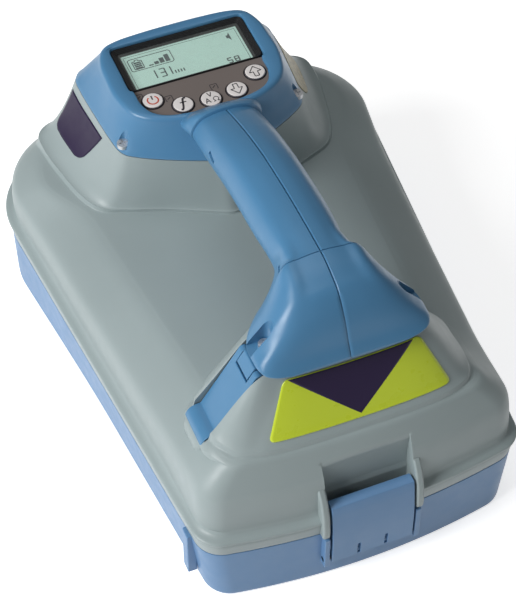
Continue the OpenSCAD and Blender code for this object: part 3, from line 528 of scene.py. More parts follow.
# display tower and handle mound: flanks between a top and a foot outline, rounded into the body
tower = {"z": 114.7, "low": 56.0, "drop": 33.5, "soft": 3.0, "flare": 0.55, "steep": 90.0, "centre": (0, 95),
         "top": [[0, 40], [10, 43.6], [30, 52.3], [46, 61], [52.5, 67.5], [54.8, 80], [56.3, 98], [57.6, 119],
                 [56.6, 130], [49, 136], [26, 138], [0, 138.4]],
         "foot": [[0, 34], [12, 38.6], [34, 49.4], [54, 57], [67, 63.5], [74, 76], [78.5, 95], [82, 117],
                  [80, 131], [66, 137.4], [34, 139.2], [0, 139.6]]}
mound = {"z": 129.5, "low": 70.0, "drop": 37.0, "soft": 9.0, "flare": 1.0, "steep": 237.0, "centre": (0, -92),
         "top": [[0, -110.6], [14, -110.4], [28, -109.8], [37, -108], [41.5, -103.5], [42.5, -96],
                 [39.6, -88], [33, -79], [25, -71.5], [15, -67], [0, -65.5]],
         "foot": [[0, -131], [20, -130.8], [40, -129.8], [53, -127.6], [62.5, -122.5], [66.5, -110],
                  [66.5, -95], [65.2, -83.5], [57.5, -73.5], [40, -64.5], [0, -59.5]]}
for part in (tower, mound):
    part["topLine"] = halfOutline(part["top"], 9)
    part["footLine"] = halfOutline(part["foot"], 9)


def flankZ(part, t):
    # height at a share of the way from the top to the foot: flared down to the foot, steep past it
    fall = 1 - max(1 - t, 0) ** (1 / part["flare"])
    return part["z"] - part["drop"] * fall - part["steep"] * max(t - 1, 0)


def flankGrid(part, shares):
    # rows from the foot up to the top edge, then a narrow turn inwards under the piece that it carries
    rings = []
    for t in shares:
        line = whole(part["topLine"] + (part["footLine"] - part["topLine"]) * t)
        z = softMax(bodyHeight(line[:, 0], line[:, 1]), flankZ(part, t), part["soft"])
        rings.append(atZ(line, z + (0.03 if t < shares[0] else -0.08)))
    top = whole(part["topLine"])
    for d, fall in ((0.35, 0.12), (1.2, 0.5), (6, 0.6)):
        rings.append(atZ(grown(top, -d, part["centre"]), part["z"] - fall))
    rings.insert(0, rings[0] * [1, 1, 0] + [0, 0, part["low"]])
    return np.stack([raised(ring) for ring in rings] if part is mound else rings)


towerShares = np.concatenate([np.linspace(1.12, 0.94, 19), np.linspace(0.94, 0.0, 40)[1:]])
moundShares = np.concatenate([np.linspace(1.25, 0.9, 22), np.linspace(0.9, 0.02, 26)[1:]])

# guards beside the latch and pads for the rear hinge
ear = {"x": (23.6, 27.8),
       "line": [[-136, 68.5], [-141.6, 70.5], [-144.8, 68.5], [-148.6, 62.5], [-151.6, 53.5], [-152.8, 43.5],
                [-152.6, 37.7], [-146, 37.7], [-136, 41.5]]}
earParts = [prism(ear["line"], ear["x"][0], ear["x"][1], sideways),
            prism(ear["line"], -ear["x"][1], -ear["x"][0], sideways)]
hingePad = {"x": 42.0, "half": 8.0, "y": (140.0, 146.6), "z": (38.3, 43.5)}
pads = [box((s * hingePad["x"] - hingePad["half"], s * hingePad["x"] + hingePad["half"]), hingePad["y"],
            hingePad["z"]) for s in (-1, 1)]

makePiece("caseSkin", [loft(bodyGrid, end=False)], "case", caseGrey, ["upper_case"], angle=40)
makePiece("towerSkin", [loft(flankGrid(tower, towerShares))], "case", caseGrey, angle=50)
seat = cover["half"] + cover["gap"]
coverSeat = box(cover["seat"], (-seat, seat), (-0.3, 16), onFlank)
makePiece("moundSkin", [loft(flankGrid(mound, moundShares))], "case", caseGrey, angle=50,
          cuts=[[coverSeat]])
makePiece("caseGuards", earParts + pads, "case", caseGrey, bevel=1.3)
print("case made")

# accessory tray: rings by inset and height, with the latch pocket pushed in between its ribs
tray = {"outer": [[2.4, -1.5], [1, -1], [0.3, 0], [0, 2], [0, 10], [0, 30], [0, 36.6], [0.4, 37.2]],
        "inner": [[2.6, 37.2], [3, 36.8], [3, 14], [4, 7], [5.4, 4], [11, 3]], "pocketY": -145.0,
        "pocketZ": 11.0, "pocketWall": 3.8, "lean": 4.0, "high": 39.0, "uprightFrom": -20.0,
        "uprightOver": 170.0}


# ribs beside the latch, ribs on the flanks and knuckles of the rear hinge
ribs = {"x": (23.6, 26.6), "y": (-152.8, -144.0), "z": (12.0, 36.4), "flankY": (-125.0, -118.0),
        "flankZ": (5.0, 37.2), "flankAt": -122.0, "flankX": (-3.0, 2.0)}
knuckle = {"at": (149.9, 37.5), "r": 3.2, "foot": [[146.7, 36.3], [144, 36.3], [144, 27.5], [147, 27.5]],
           "apart": 11.4, "half": 3.0}


def trayRing(d, z, inside):
    # plan set in by d, with sides that lean in towards the floor except at the rear
    side = d + tray["lean"] * (1 - (z + datum) / tray["high"])
    radii = max(plan["frontCorner"] - d, 5), plan["rearCorner"] - d
    leant, upright = planHalf(side, d, d, *radii), planHalf(d, d, d, *radii)
    share = ease((leant[:, 1:] - tray["uprightFrom"]) / tray["uprightOver"])
    ring = atZ(whole(leant + (upright - leant) * share), z)
    depth = tray["pocketY"] + (tray["pocketWall"] if inside else 0)
    held = (np.abs(ring[:, 0]) < (ribs["x"][1] if inside else plan["slotX"] - 0.1)) & (ring[:, 1] < 0)
    if inside or z > tray["pocketZ"]:
        ring[:, 1] = np.where(held, np.maximum(ring[:, 1], depth), ring[:, 1])
    return ring


outer = spread(tray["outer"], 4)
sill = tray["pocketZ"]
outer = np.vstack([outer[outer[:, 1] < sill], [[0, sill - 0.1], [0, sill + 0.1]],
                   outer[outer[:, 1] > sill + 0.3]])
rings = [trayRing(d, z, False) for d, z in outer]
rings += [trayRing(d, z, True) for d, z in spread(tray["inner"], 3)]
knuckleLine = np.vstack([arc(knuckle["at"], knuckle["r"], -60, 180, 25), knuckle["foot"]])
flankX = plan["halfWidth"] + ribs["flankAt"] * plan["taper"]
ribParts = []
for s in (-1, 1):
    ribParts.append(box(sorted(s * x for x in ribs["x"]), ribs["y"], ribs["z"]))
    ribParts.append(box(sorted(s * (flankX + x) for x in ribs["flankX"]), ribs["flankY"], ribs["flankZ"]))
    for e in (-1, 1):
        x = s * hingePad["x"] + e * knuckle["apart"]
        ribParts.append(prism(knuckleLine, x - knuckle["half"], x + knuckle["half"], sideways))
makePiece("trayShell", [loft(np.stack(rings))], "tray", trayBlue, ["accessory_tray"], angle=35)
makePiece("trayRibs", ribParts, "tray", trayBlue, bevel=0.6)

# latch: side profile drawn out across the width, with a rounded top edge
latch = {"half": 22.5, "line": [[-153.1, 15.6], [-152.6, 15], [-150.5, 15], [-150.5, 40], [-148.1, 55.6],
                                [-143.6, 55.6], [-143.6, 58], [-145, 58.7], [-148.5, 59], [-149.6, 58.6],
                                [-150.3, 57.4], [-151.3, 51], [-152.5, 42], [-153.05, 34], [-153.1, 25]],
         "slotX": (6.8, 8.3), "slotY": (-155.0, -151.2), "slotZ": (16.4, 24.6), "barrel": (-149.9, 17.4),
         "barrelR": 2.3}
slots = [box(sorted(s * x for x in latch["slotX"]), latch["slotY"], latch["slotZ"]) for s in (-1, 1)]
barrelLine = arc(latch["barrel"], latch["barrelR"], 0, 360, 33)[:-1]
barrel = prism(barrelLine, -latch["half"], latch["half"], sideways)
makePiece("latchPlate", [prism(latch["line"], -latch["half"], latch["half"], sideways)], "latch", trayBlue,
          ["latch_plate"], bevel=0.7, cuts=[slots])
makePiece("latchBarrel", [barrel], "latch", trayBlue, bevel=0.3)
print("tray and latch made")

# handle: half sections at stations along the grip, lofted as two closed halves with a groove between them
handle = {"stations": [[57, 119.2, 140.2, 13, 0.2, 18.4, 0.55, 14.6, 0.86],
                       [48, 119.6, 146.4, 13.5, 0.2, 19, 0.55, 15, 0.86],
                       [24, 123, 155.2, 14, 0.2, 20, 0.55, 15.5, 0.86],
                       [0, 126.5, 161.5, 14, 0.2, 20, 0.55, 15.5, 0.86],
                       [-20, 129, 164.2, 14, 0.2, 20, 0.55, 15.5, 0.86],
                       [-39, 130.4, 165.8, 14, 0.2, 20, 0.55, 15.5, 0.86],
                       [-56, 130.8, 166.5, 14, 0.2, 19, 0.55, 15.5, 0.86],
                       [-63, 129.5, 166.55, 15.5, 0.12, 18.2, 0.5, 15.5, 0.86],
                       [-68, 129.5, 166.55, 23, 0.07, 20.5, 0.42, 16, 0.87],
                       [-74, 129.5, 166.55, 30, 0.05, 25, 0.38, 17, 0.89],
                       [-78, 129.5, 166.4, 34.5, 0.05, 29, 0.38, 20.5, 0.9],
                       [-85, 129.5, 165.3, 40.5, 0.05, 34, 0.38, 21, 0.91],
                       [-92, 129.5, 163, 44.2, 0.05, 37, 0.4, 22.5, 0.9],
                       [-98, 129.5, 160.2, 45, 0.05, 38, 0.44, 25, 0.86],
                       [-104, 129.5, 153.6, 44.8, 0.07, 39, 0.45, 28, 0.82],
                       [-108.5, 129.5, 146.2, 44.2, 0.12, 39.6, 0.5, 29, 0.82],
                       [-112.5, 129.5, 137.5, 42, 0.2, 38.4, 0.55, 28, 0.85],
                       [-115, 129.5, 133.2, 37, 0.3, 33.6, 0.6, 24, 0.88],
                       [-116.2, 129.5, 131, 30, 0.35, 27.6, 0.65, 20, 0.9]],
          "neck": [[62, 121, 136.4, 12, 0.2, 20.6, 0.6, 18, 0.86],
                   [56, 120, 142.2, 13, 0.2, 21.6, 0.6, 18.2, 0.86],
                   [52, 119.8, 146, 13.5, 0.2, 21.6, 0.58, 18, 0.87],
                   [49, 119.6, 148.2, 13.5, 0.2, 20.9, 0.57, 17, 0.87],
                   [46.4, 119.4, 149.2, 13.5, 0.2, 20.1, 0.55, 15.9, 0.86]],
          "hoodRoom": ((-40.0, 40.0), (30.0, 90.0), (100.0, 132.0)), "lipZ": 134.0, "lipSize": 0.965,
          "lipDeep": 0.4, "footZ": 129.5, "footFrom": -61.0,
          "collar": {"y": -77.0, "low": 150.0, "deep": 0.5, "wide": 0.6},
          "slots": [(18.0, 146.0, 4.0), (-72.5, 155.5, 2.6)],
          "slotX": (17.6, 30.0), "screw": (36.6, -96.0), "screwR": 4.0, "pocketZ": 132.5, "seam": 0.12}


def handleHalf(s, k):
    # right half of a station's section, from the bottom over the side to the top
    b, h = s[1], s[2] - s[1]
    return halfOutline([[0, b], [0.6 * s[3], b + 0.01 * h], [s[3], b + s[4] * h], [s[5], b + s[6] * h],
                        [s[7], b + s[8] * h], [0.55 * s[7], b + 0.97 * h], [0, b + h]], k)


def handleRing(s):
    # half section closed along the middle line, with its edges drawn in for the groove
    half = handleHalf(s, 7)
    side = half[1:-1]
    side = side[side[:, 0] > 1.0]
    gap = handle["seam"]
    low, high = half[0, 1], half[-1, 1]
    ring = np.vstack([[gap, low + 0.5], [gap + 0.5, low], side, [gap + 0.55, high], [gap, high - 0.6]])
    return np.column_stack([ring[:, 0], np.full(len(ring), s[0]), ring[:, 1]])


screwWell = {"reach": 30.0, "high": 190.0}


def channel(at, heading, r, low):
    # upright screw channel, round at its inner side and open towards the heading
    line = np.vstack([arc((0, 0), r, 90, 270, 20), [[screwWell["reach"], -r], [screwWell["reach"], r]]])
    a = math.radians(heading)
    line = line @ np.array([[math.cos(a), math.sin(a)], [-math.sin(a), math.cos(a)]]) + np.array(at)
    return prism(line, low, screwWell["high"])


def collarGroove():
    # band along the top of the section where the grip enters the foot
    collar = handle["collar"]
    line = handleHalf(handleRows[np.argmin(np.abs(handleRows[:, 0] - collar["y"]))], 7)
    line = line[line[:, 1] > collar["low"]]
    along = np.gradient(line, axis=0)
    away = np.column_stack([along[:, 1], -along[:, 0]]) / np.linalg.norm(along, axis=1)[:, None]
    inner, outer = line - collar["deep"] * away, line + away
    front, back = collar["y"] - collar["wide"] / 2, collar["y"] + collar["wide"] / 2
    corners = [(inner, front), (outer, front), (outer, back), (inner, back)]
    return np.stack([np.column_stack([p[:, 0], np.full(len(p), y), p[:, 1]]) for p, y in corners], 1)


handleRows = spread(handle["stations"], 6)
overFoot = handleRows[:, 0] < handle["footFrom"]
handleRows[:, 1] = np.where(overFoot, np.maximum(handleRows[:, 1], handle["footZ"]), handleRows[:, 1])
rightRings = np.stack([handleRing(s) for s in handleRows])
leftRings = (rightRings * [-1, 1, 1])[:, ::-1]
for name, node, rings, s in (("handleRight", "handle_right", rightRings, 1),
                             ("handleLeft", "handle_left", leftRings, -1)):
    well = channel((s * handle["screw"][0], handle["screw"][1]), 90 - 90 * s, handle["screwR"],
                   handle["pocketZ"])
    groove = loft(collarGroove() if s > 0 else (collarGroove() * [-1, 1, 1])[:, ::-1])
    across = sorted(s * x for x in handle["slotX"])
    drains = [box(across, (y - d, y + d), (z - 1, z + 1)) for y, z, d in handle["slots"]]
    makePiece(name, [loft(rings)], "case", toolBlue, [node], angle=38,
              cuts=[[well], [groove], drains])
print("handle made")

# display housing: rings from the tower's top edge up to the rim and down the recess wall
housing = {"floor": 130.2, "screw": (50.2, 69.6), "screwR": 3.1, "pocketZ": 117.3,
           "foot": [[-0.7, 114.75], [-0.1, 115.1]],
           "flank": [[0.03, 115.8], [0.12, 117.1], [0.38, 122], [0.65, 127], [0.92, 132]],
           "rim": [[0, 134], [-0.35, 135], [-0.9, 135.75], [-1.7, 136.3], [-2.8, 136.6]],
           "lip": [[1.3, 136.6], [0.5, 136.35], [0.1, 135.7], [0, 135]],
           "top": [[0, 55], [14, 56.8], [30, 61.8], [39.5, 67.5], [45, 75.5], [48, 90], [47.8, 104],
                   [46.8, 115], [42.5, 125], [34, 129], [18, 130.6], [0, 131]],
           "recess": [[0, 61], [14, 62], [26, 64.5], [33, 69.5], [36.3, 77.5], [36.6, 84], [36.8, 87.6],
                      [38.6, 90.2], [38.6, 104], [38.6, 113], [38.2, 121.6], [34, 123.2], [18, 123.4],
                      [0, 123.4]]}
topLine = whole(halfOutline(housing["top"], 9))
recessLine = whole(resampled(halfOutline(housing["recess"], 9), len(tower["topLine"])))
footLine = whole(tower["topLine"])
middle = tower["centre"]
rows = [atZ(grown(footLine, d, middle), z) for d, z in housing["foot"]]
rows += [atZ(footLine + (topLine - footLine) * share, z) for share, z in housing["flank"]]
rows += [atZ(grown(topLine, d, middle), z) for d, z in housing["rim"]]
rows += [atZ(grown(recessLine, d, middle), z) for d, z in housing["lip"]]
rows.append(atZ(recessLine, housing["floor"]))
wells = [channel((s * housing["screw"][0], housing["screw"][1]), 270 + 50 * s, housing["screwR"],
                 housing["pocketZ"]) for s in (-1, 1)]
makePiece("displayHousing", [loft(np.stack(rows))], "case", toolBlue, ["display_housing"],
          angle=38, cuts=[wells])
neckRows = spread(handle["neck"], 8)
neckRings = [np.column_stack([h[:, 0], np.full(len(h), s[0]), h[:, 1]])
             for s in neckRows for h in [whole(handleHalf(s, 7))]]
lip = neckRings[-1].copy()
lipMiddle = np.array([0, handle["lipZ"]])
lip[:, [0, 2]] = (lip[:, [0, 2]] - lipMiddle) * handle["lipSize"] + lipMiddle
lip[:, 1] -= handle["lipDeep"]
makePiece("housingNeck", [loft(np.stack(neckRings + [lip]))], "case", toolBlue, angle=38,
          cuts=[[box(*handle["hoodRoom"])]])
print("housing made")

# keypad: domed caps on the sliding bodies, dark rings and small marks on the panel
keypad = {"at": {"key_power": (-29.3, 78.8), "key_frequency": (-15.3, 70.1), "key_measure": (0, 68.6),
                 "key_down": (15.3, 70.1), "key_up": (29.3, 78.8)},
          "rim": [[5.2, 133.6], [6.0, 133.6], [6.05, 134.3], [5.98, 134.6], [5.8, 134.78], [5.3, 134.8],
                  [5.2, 134.2]],
          "cap": [[5.4, 134.2], [5.42, 134.7], [5.3, 135.0], [5.0, 135.12], [3.6, 135.2], [1.8, 135.24],
                  [0.02, 135.25]], "top": 135.1, "ink": (0.0, 0.18), "panelInk": (134.1, 134.26),
          "small": [(-35, 84.3), (-20.6, 77.6), (4.8, 77)]}
capLine = spread(keypad["cap"], 3)
for name, (x, y) in keypad["at"].items():
    makePiece(name + "Cap", [turned(capLine, 56, (x, y))], name, keyWhite, [name], angle=50)
    makePiece(name + "Rim", [turned(keypad["rim"], 56, (x, y))], name, inkDark, angle=50)


def mark(name, key, parts, material):
    # raised print on a cap, drawn round the middle of the key
    at = np.array([*keypad["at"][key], keypad["top"]])
    makePiece(name, [(v + at, f) for v, f in parts], key, material, angle=40)


ink = keypad["ink"]
mark("powerArc", "key_power", [stroke(arc((0, -0.2), 2.9, 125, 415, 40), 0.75, *ink)], inkRed)
mark("powerBar", "key_power", [stroke([[0, 0.2], [0, 3.2]], 0.75, *ink)], inkDark)
hook = spread([[-2.4, -3.9], [-1.5, -3.9], [-0.7, -2.4], [0.1, 0.6], [0.7, 3.0], [1.5, 4.0], [2.5, 3.8]], 6)
bar = stroke([[-1.5, 1.1], [2.1, 1.1]], 0.7, *ink)
mark("frequencyMark", "key_frequency", [stroke(hook, 1.1, *ink), bar], inkDark)
volt = [stroke([[-1.1, 4.2], [0, 1.2]], 0.5, *ink), stroke([[0, 1.2], [1.1, 4.2]], 0.5, *ink)]
ampere = [stroke([[-3.7, -3.2], [-2.4, 0.3]], 0.5, *ink), stroke([[-2.4, 0.3], [-1.1, -3.2]], 0.5, *ink),
          stroke([[-3.2, -2.0], [-1.6, -2.0]], 0.45, *ink)]
ohmLine = np.vstack([[[0.6, -3.0], [1.5, -3.0]], arc((2.3, -1.3), 1.45, 245, -65, 24),
                     [[3.1, -3.0], [4.0, -3.0]]])
ohm = [stroke(ohmLine, 0.45, *ink)]
mark("measureMark", "key_measure", volt + ampere + ohm, inkDark)
arrow = np.array([[-1.2, 3.7], [-1.2, 0.3], [-3.3, 0.3], [0, -3.9], [3.3, 0.3], [1.2, 0.3], [1.2, 3.7],
                  [-1.2, 3.7]])


def outlineOf(points, width):
    # one stroke for each side of the line
    return [stroke(points[i:i + 2], width, *ink) for i in range(len(points) - 1)]


mark("downMark", "key_down", outlineOf(arrow, 0.5), inkDark)
mark("upMark", "key_up", outlineOf(arrow * [1, -1], 0.5), inkDark)


def roundedBox(x, y, w, d, r, n=6):
    # outline of half sizes w and d with a quarter circle at each corner
    return np.vstack([arc((x + w - r, y - d + r), r, -90, 0, n), arc((x + w - r, y + d - r), r, 0, 90, n),
                      arc((x - w + r, y + d - r), r, 90, 180, n),
                      arc((x - w + r, y - d + r), r, 180, 270, n)])


marks = []
for x, y in keypad["small"]:
    marks += [stroke(roundedBox(x, y, 1.9, 1.9, 0.5), 0.4, *keypad["panelInk"]),
              stroke([[x - 0.9, y - 0.7], [x + 0.9, y + 0.7]], 0.5, *keypad["panelInk"])]
makePiece("panelMarks", marks, "case", inkDark)

# window: frame with stepped inner walls and the dark signs on the display
window = {"y": 105.2, "half": (33.7, 14.0), "outer": (38.4, 89.0, 123.1), "inner": (34.3, 90.7, 119.7),
          "steps": 5, "step": 0.5, "top": 135.2, "low": 132.2, "ink": (131.75, 131.86)}


def windowRing(share, r, z):
    # rounded box between the frame's outer and inner edges
    x, front, rear = (1 - share) * np.array(window["outer"]) + share * np.array(window["inner"])
    return atZ(roundedBox(0, (front + rear) / 2, x, (rear - front) / 2, r), z)


steps = [windowRing(0, 3.4, window["low"]), windowRing(0, 3.4, window["top"] - 0.3),
         windowRing(0.06, 3.2, window["top"])]
for i in range(window["steps"]):
    f = 0.12 + 0.88 * i / window["steps"]
    z = window["top"] - window["step"] * i
    steps += [windowRing(f, 3 - 1.8 * f, z), windowRing(f + 0.04, 2.9 - 1.8 * f, z - window["step"])]
steps += [windowRing(1, 1.0, window["low"] + window["step"]), windowRing(1, 1.0, window["low"])]
makePiece("windowFrame", [surface(np.stack(steps + steps[:1]))], "case", blackPlastic,
          ["window_frame"], angle=30)


def onDisplay(points):
    # shares of the display's width and depth, from its rear left corner
    p = np.asarray(points, float)
    w, d = window["half"]
    return np.column_stack([-w + 2 * w * p[:, 0], window["y"] + d - 2 * d * p[:, 1]])


def lcdBox(u0, v0, u1, v1):
    # filled box between two corners, in shares of the display
    return prism(onDisplay([[u0, v1], [u1, v1], [u1, v0], [u0, v0]]), *window["ink"])


def lcdLine(points, width):
    # bar of one width along a line
    return stroke(onDisplay(points), width, *window["ink"])


def digit(u, v, w, h, segments):
    # seven bars: top, upper right, lower right, bottom, lower left, upper left, middle
    ends = [[(0, 0), (1, 0)], [(1, 0), (1, 0.5)], [(1, 0.5), (1, 1)], [(0, 1), (1, 1)], [(0, 0.5), (0, 1)],
            [(0, 0), (0, 0.5)], [(0, 0.5), (1, 0.5)]]
    return [lcdLine([[u + w * a[0], v + h * a[1]], [u + w * b[0], v + h * b[1]]], 0.7)
            for i in segments for a, b in [ends[i]]]


def lcdOutline(points, width):
    # one bar for each side of the line
    return [lcdLine(points[i:i + 2], width) for i in range(len(points) - 1)]


signs = lcdOutline([[0.02, 0.05], [0.98, 0.05], [0.98, 0.95], [0.02, 0.95], [0.02, 0.05]], 0.22)
signs += lcdOutline([[0.05, 0.47], [0.385, 0.47], [0.4, 0.44], [0.4, 0.16], [0.385, 0.13], [0.055, 0.13],
                     [0.04, 0.16], [0.04, 0.44], [0.05, 0.47]], 0.45)
signs += lcdOutline([[0.07, 0.43], [0.15, 0.43], [0.15, 0.21], [0.125, 0.21], [0.125, 0.175], [0.095, 0.175],
                     [0.095, 0.21], [0.07, 0.21], [0.07, 0.43]], 0.5)
signs += [lcdBox(0.08, v, 0.14, v + 0.038) for v in (0.235, 0.285, 0.335, 0.385)]
signs += [lcdBox(0.19 + i * 0.048, 0.43 - h, 0.228 + i * 0.048, 0.43)
          for i, h in enumerate((0.03, 0.08, 0.14, 0.2))]
signs += digit(0.205, 0.58, 0.001, 0.22, (1, 2)) + digit(0.245, 0.58, 0.042, 0.22, (0, 1, 2, 3, 6))
signs += digit(0.335, 0.58, 0.001, 0.22, (1, 2))
signs += [lcdLine([[0.365 + i * 0.024, 0.72], [0.365 + i * 0.024, 0.8]], 0.7) for i in range(4)]
signs += digit(0.8, 0.8, 0.034, 0.13, (0, 5, 6, 2, 3)) + digit(0.86, 0.8, 0.034, 0.13, (0, 1, 2, 3, 4, 5, 6))
horn = onDisplay([[0.9, 0.27], [0.918, 0.34], [0.918, 0.12], [0.9, 0.19]])
signs += [lcdBox(0.885, 0.19, 0.9, 0.27), prism(horn, *window["ink"])]
makePiece("displaySigns", signs, "case", lcdInk)
print("keypad and display made")

# socket cover: a strap with a curled nose, slotted at its hinge for the bracket that it hangs from
strap = {"under": [[-19.2, 0.5], [14, 0.5], [17.5, 0.3]], "over": [[16, 4.8]], "hingeR": 2.5,
         "nose": [[-18.2, 4.8], [-20.2, 7.4], [-22.8, 9], [-25.4, 9.3], [-27.8, 8.8]],
         "hollow": [[-27.6, 7.8], [-25.2, 8.2], [-23, 7.9], [-20.8, 6.5], [-19.4, 4.2], [-19.4, 2.6]],
         "slot": ((14.8, 30.0), (-6.8, 6.8), (-4.0, 12.0)), "room": ((-18.2, 13.0), (-9.0, 9.0), (-1.0, 3.2)),
         "bracket": [[15.2, 0], [25.9, 0], [25.9, 2.2], [24, 5.1], [16.5, 5.1], [15.2, 3.8]],
         "bracketHalf": 6.4}
hinge = arc(cover["hinge"], strap["hingeR"], -100, 85, 16)
strapLine = np.vstack([strap["under"], hinge, strap["over"], spread(strap["nose"], 6),
                       spread(strap["hollow"], 5)])
strapCuts = [[box(*strap["slot"], onFlank)], [box(*strap["room"], onFlank)]]
makePiece("socketStrap", [prism(strapLine, -cover["half"], cover["half"], onFlankAcross)], "cover", toolBlue,
          ["socket_cover"], bevel=0.5, cuts=strapCuts)
bracket = prism(strap["bracket"], -strap["bracketHalf"], strap["bracketHalf"], onFlankAcross)
makePiece("strapBracket", [bracket], "case", toolBlue, ["cover_bracket"], bevel=0.4)
# rounded boss that the cover's nose lies on, drawn in towards both ends
boss = {"line": [[-33, -16], [-37.4, -6], [-37, 1.6], [-35.2, 6.2], [-32, 8.6], [-28.6, 8.8], [-25.6, 7.7],
                 [-23, 7.1], [-21, 5.4], [-19.6, 3], [-16, -2], [-12, -14]],
        "middle": (-27, -3), "half": 10.4, "round": 4.5, "drawn": 0.28}
profile = spread(boss["line"], 5)
across = boss["half"] * np.sin(np.radians(np.linspace(-89, 89, 31)))
bossRings = []
for y in across:
    over = max(abs(y) - boss["half"] + boss["round"], 0) / boss["round"]
    size = 1 - boss["drawn"] * (1 - math.sqrt(1 - over * over))
    line = np.array(boss["middle"]) + (profile - boss["middle"]) * size
    bossRings.append(np.column_stack([line[:, 0], np.full(len(line), y), line[:, 1]]))
makePiece("caseBoss", [loft(onFlank(np.stack(bossRings)))], "case", caseGrey, angle=60)
print("socket cover made")

# labels: grids laid on the flanks
labels = {"front": {"z": (97.0, 124.3), "half": (49.2, 36.2), "shift": 2.3, "corner": 3.0, "off": 0.42},
          "field": {"z": (99.2, 123.9), "half": 33.2, "shift": 1.4, "off": 0.5},
          "side": {"z": (88.5, 110.3), "front": (94.5, 85.5), "rear": 127.2, "corner": 5.0, "off": 0.4,
                   "flank": (40.0, 66.0)},
          "film": 0.35}


def levelLine(part, z):
    # outline of a flank at the height z
    t = 1 - (1 - (part["z"] - z) / part["drop"]) ** part["flare"]
    return part["topLine"] + (part["footLine"] - part["topLine"]) * t


def frontPatch(edges, low, high, rows, cols, off):
    # rows of constant height on the mound's front, from a left to a right edge given for each height
    grid = []
    for z in np.linspace(low, high, rows):
        line = levelLine(mound, z)
        line = line[line[:, 1] < mound["centre"][1]]
        left, right = edges(z)
        x = np.linspace(left, right, cols)
        y = np.interp(np.abs(x), line[:, 0], line[:, 1])
        height = softMax(bodyHeight(x, y), np.full(cols, z), mound["soft"])
        grid.append(np.column_stack([x, y - off * 0.86, height + off * 0.5]))
    return surface(np.stack(grid), wrap=False)


def rounding(z, low, high, r):
    # how far round corners draw in the sides of a patch at the height z
    near = np.clip(r - min(z - low, high - z), 0, r)
    return r - math.sqrt(r * r - near * near)


def limeEdges(z):
    # sides of the front label, closer together towards the top
    front = labels["front"]
    low, high = front["z"]
    half = front["half"][0] + (front["half"][1] - front["half"][0]) * (z - low) / (high - low)
    half -= rounding(z, low, high, front["corner"])
    return front["shift"] - half, front["shift"] + half


def violetEdges(z):
    # sides of the dark triangle, which stands on its tip
    field = labels["field"]
    low, high = field["z"]
    half = field["half"] * max((z - low) / (high - low), 0.002)
    return field["shift"] - half, field["shift"] + half


limePatch = frontPatch(limeEdges, *labels["front"]["z"], 60, 60, labels["front"]["off"])
makePiece("frontLabel", [limePatch], "case", labelLime, ["front_label"], film=labels["film"])
violetPatch = frontPatch(violetEdges, *labels["field"]["z"], 40, 40, labels["field"]["off"])
makePiece("frontField", [violetPatch], "case", labelViolet, film=labels["film"])


def sidePatch(s):
    # rows of constant height on a tower flank, with round corners below
    side = labels["side"]
    low, high = side["z"]
    off = side["off"]
    grid = []
    for z in np.linspace(low, high, 24):
        line = levelLine(tower, z)
        line = line[(line[:, 0] > side["flank"][0]) & (line[:, 1] > side["flank"][1])]
        draw = rounding(z, low, math.inf, side["corner"])
        front = side["front"][0] + (side["front"][1] - side["front"][0]) * (z - low) / (high - low) + draw
        y = np.linspace(front, side["rear"] - draw, 30)
        x = np.interp(y, line[:, 1], line[:, 0])
        grid.append(np.column_stack([s * (x + off * 0.8), y, np.full(30, z + off * 0.5)]))
    return surface(np.stack(grid), wrap=False, flip=s < 0)


makePiece("leftLabel", [sidePatch(-1)], "case", labelViolet, ["left_label"],
          film=labels["film"])
makePiece("rightLabel", [sidePatch(1)], "case", labelPale, ["right_label"], film=labels["film"])
print("labels made")

# CAD nodes that are shown as they come from the frame, by finish
shown = [(pinShadedSteel, ["latch_pin"]),
         (brightSteel, ["hinge_pins", "base_screws", "door_screws", "contact_plates", "contact_springs",
                        "board_screws", "cover_pin", "handle_screws", "housing_screws", "dome_switches",
                        "wireless_module"]),
         (blackPlastic, ["hinge_hooks", "base_plate", "battery_door", "battery_cradle", "sounder",
                         "output_socket", "charger_socket", "display_carrier"]),
         (rubber, ["case_seal"]), (cellJacket, ["battery_cells"]),
         (boardGreen, ["main_board", "display_board"]),
         (copper, ["output_transformer", "induction_coil"]), (sleeveBlue, ["capacitors"]),
         (ferriteDark, ["ferrite_rod"]), (ribbonGrey, ["ribbon_cable"]), (panelGrey, ["keypad_panel"]),
         (paneClear, ["window_pane"]), (lcdMint, ["lcd_module"])]
for material, nodes in shown:
    for node in nodes:
        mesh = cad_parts[node].data
        mesh.materials.clear()
        mesh.materials.append(material)
print("remaining nodes finished")

# studio: pale floor that turns white for the camera, soft lights and the photo's camera
stage = {"camera": (-263.954, -646.014, 886.838), "right": (0.9263, -0.3767, 0.0003),
         "up": (0.2898, 0.7132, 0.6382), "back": (-0.2406, -0.5911, 0.7698), "lens": 120.05, "floorHalf": 6.0,
         "floorGrey": 0.85, "glow": 0.66, "world": 0.16, "target": (0, 0, 0.08),
         "lights": {"keyLight": ((-1.45, -0.25, 1.15), 1.0, 29), "topLight": ((0.1, 0.4, 1.9), 1.2, 5),
                    "frontLight": ((-0.5, -1.6, 0.9), 1.0, 0.5)}}
floorMesh = bpy.data.meshes.new("floor")
side = stage["floorHalf"]
corners = [(-side, -side, 0), (side, -side, 0), (side, side, 0), (-side, side, 0)]
floorMesh.from_pydata(corners, [], [(0, 1, 2, 3)])
floor = bpy.data.objects.new("floor", floorMesh)
floor.location = (0, 0, -0.0002)
bpy.context.scene.collection.objects.link(floor)
floorMaterial = bpy.data.materials.new("floorPale")
floorMaterial.use_nodes = True
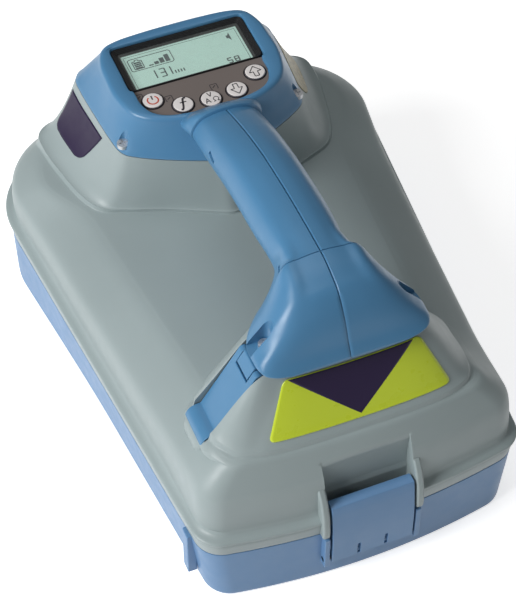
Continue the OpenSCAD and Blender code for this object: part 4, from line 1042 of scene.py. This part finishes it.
floorTree = floorMaterial.node_tree
floorShader = floorTree.nodes["Principled BSDF"]
floorShader.inputs["Base Color"].default_value = (stage["floorGrey"],) * 3 + (1,)
floorShader.inputs["Roughness"].default_value = 0.9
floorShader.inputs["Specular IOR Level"].default_value = 0.1
floorShader.inputs["Emission Color"].default_value = (1, 1, 1, 1)
rayKind = floorTree.nodes.new("ShaderNodeLightPath")
seen = rayKind.outputs["Is Camera Ray"]
for kind in ("Is Glossy Ray", "Is Transmission Ray"):
    either = floorTree.nodes.new("ShaderNodeMath")
    either.operation = "MAXIMUM"
    floorTree.links.new(seen, either.inputs[0])
    floorTree.links.new(rayKind.outputs[kind], either.inputs[1])
    seen = either.outputs[0]
glow = floorTree.nodes.new("ShaderNodeMath")
glow.operation = "MULTIPLY"
glow.inputs[1].default_value = stage["glow"]
floorTree.links.new(seen, glow.inputs[0])
floorTree.links.new(glow.outputs[0], floorShader.inputs["Emission Strength"])
floorMesh.materials.append(floorMaterial)

world = bpy.data.worlds.new("studio")
bpy.context.scene.world = world
world.use_nodes = True
world.node_tree.nodes["Background"].inputs["Color"].default_value = (1, 1, 1, 1)
world.node_tree.nodes["Background"].inputs["Strength"].default_value = stage["world"]

for name, (place, size, power) in stage["lights"].items():
    data = bpy.data.lights.new(name, "AREA")
    data.shape = "DISK"
    data.size = size
    data.energy = power
    lamp = bpy.data.objects.new(name, data)
    lamp.location = place
    lamp.rotation_euler = (Vector(stage["target"]) - Vector(place)).to_track_quat("-Z", "Y").to_euler()
    bpy.context.scene.collection.objects.link(lamp)

camera = bpy.data.objects.new("camera", bpy.data.cameras.new("camera"))
camera.data.lens = stage["lens"]
camera.data.sensor_width = 36
axes = np.column_stack([stage["right"], stage["up"], stage["back"]])
placed = Matrix(axes.tolist()).to_4x4()
placed.translation = Vector(stage["camera"]) * mm
camera.matrix_world = placed
bpy.context.scene.collection.objects.link(camera)
bpy.context.scene.camera = camera
bpy.context.scene.view_settings.view_transform = "Standard"
print("studio made")
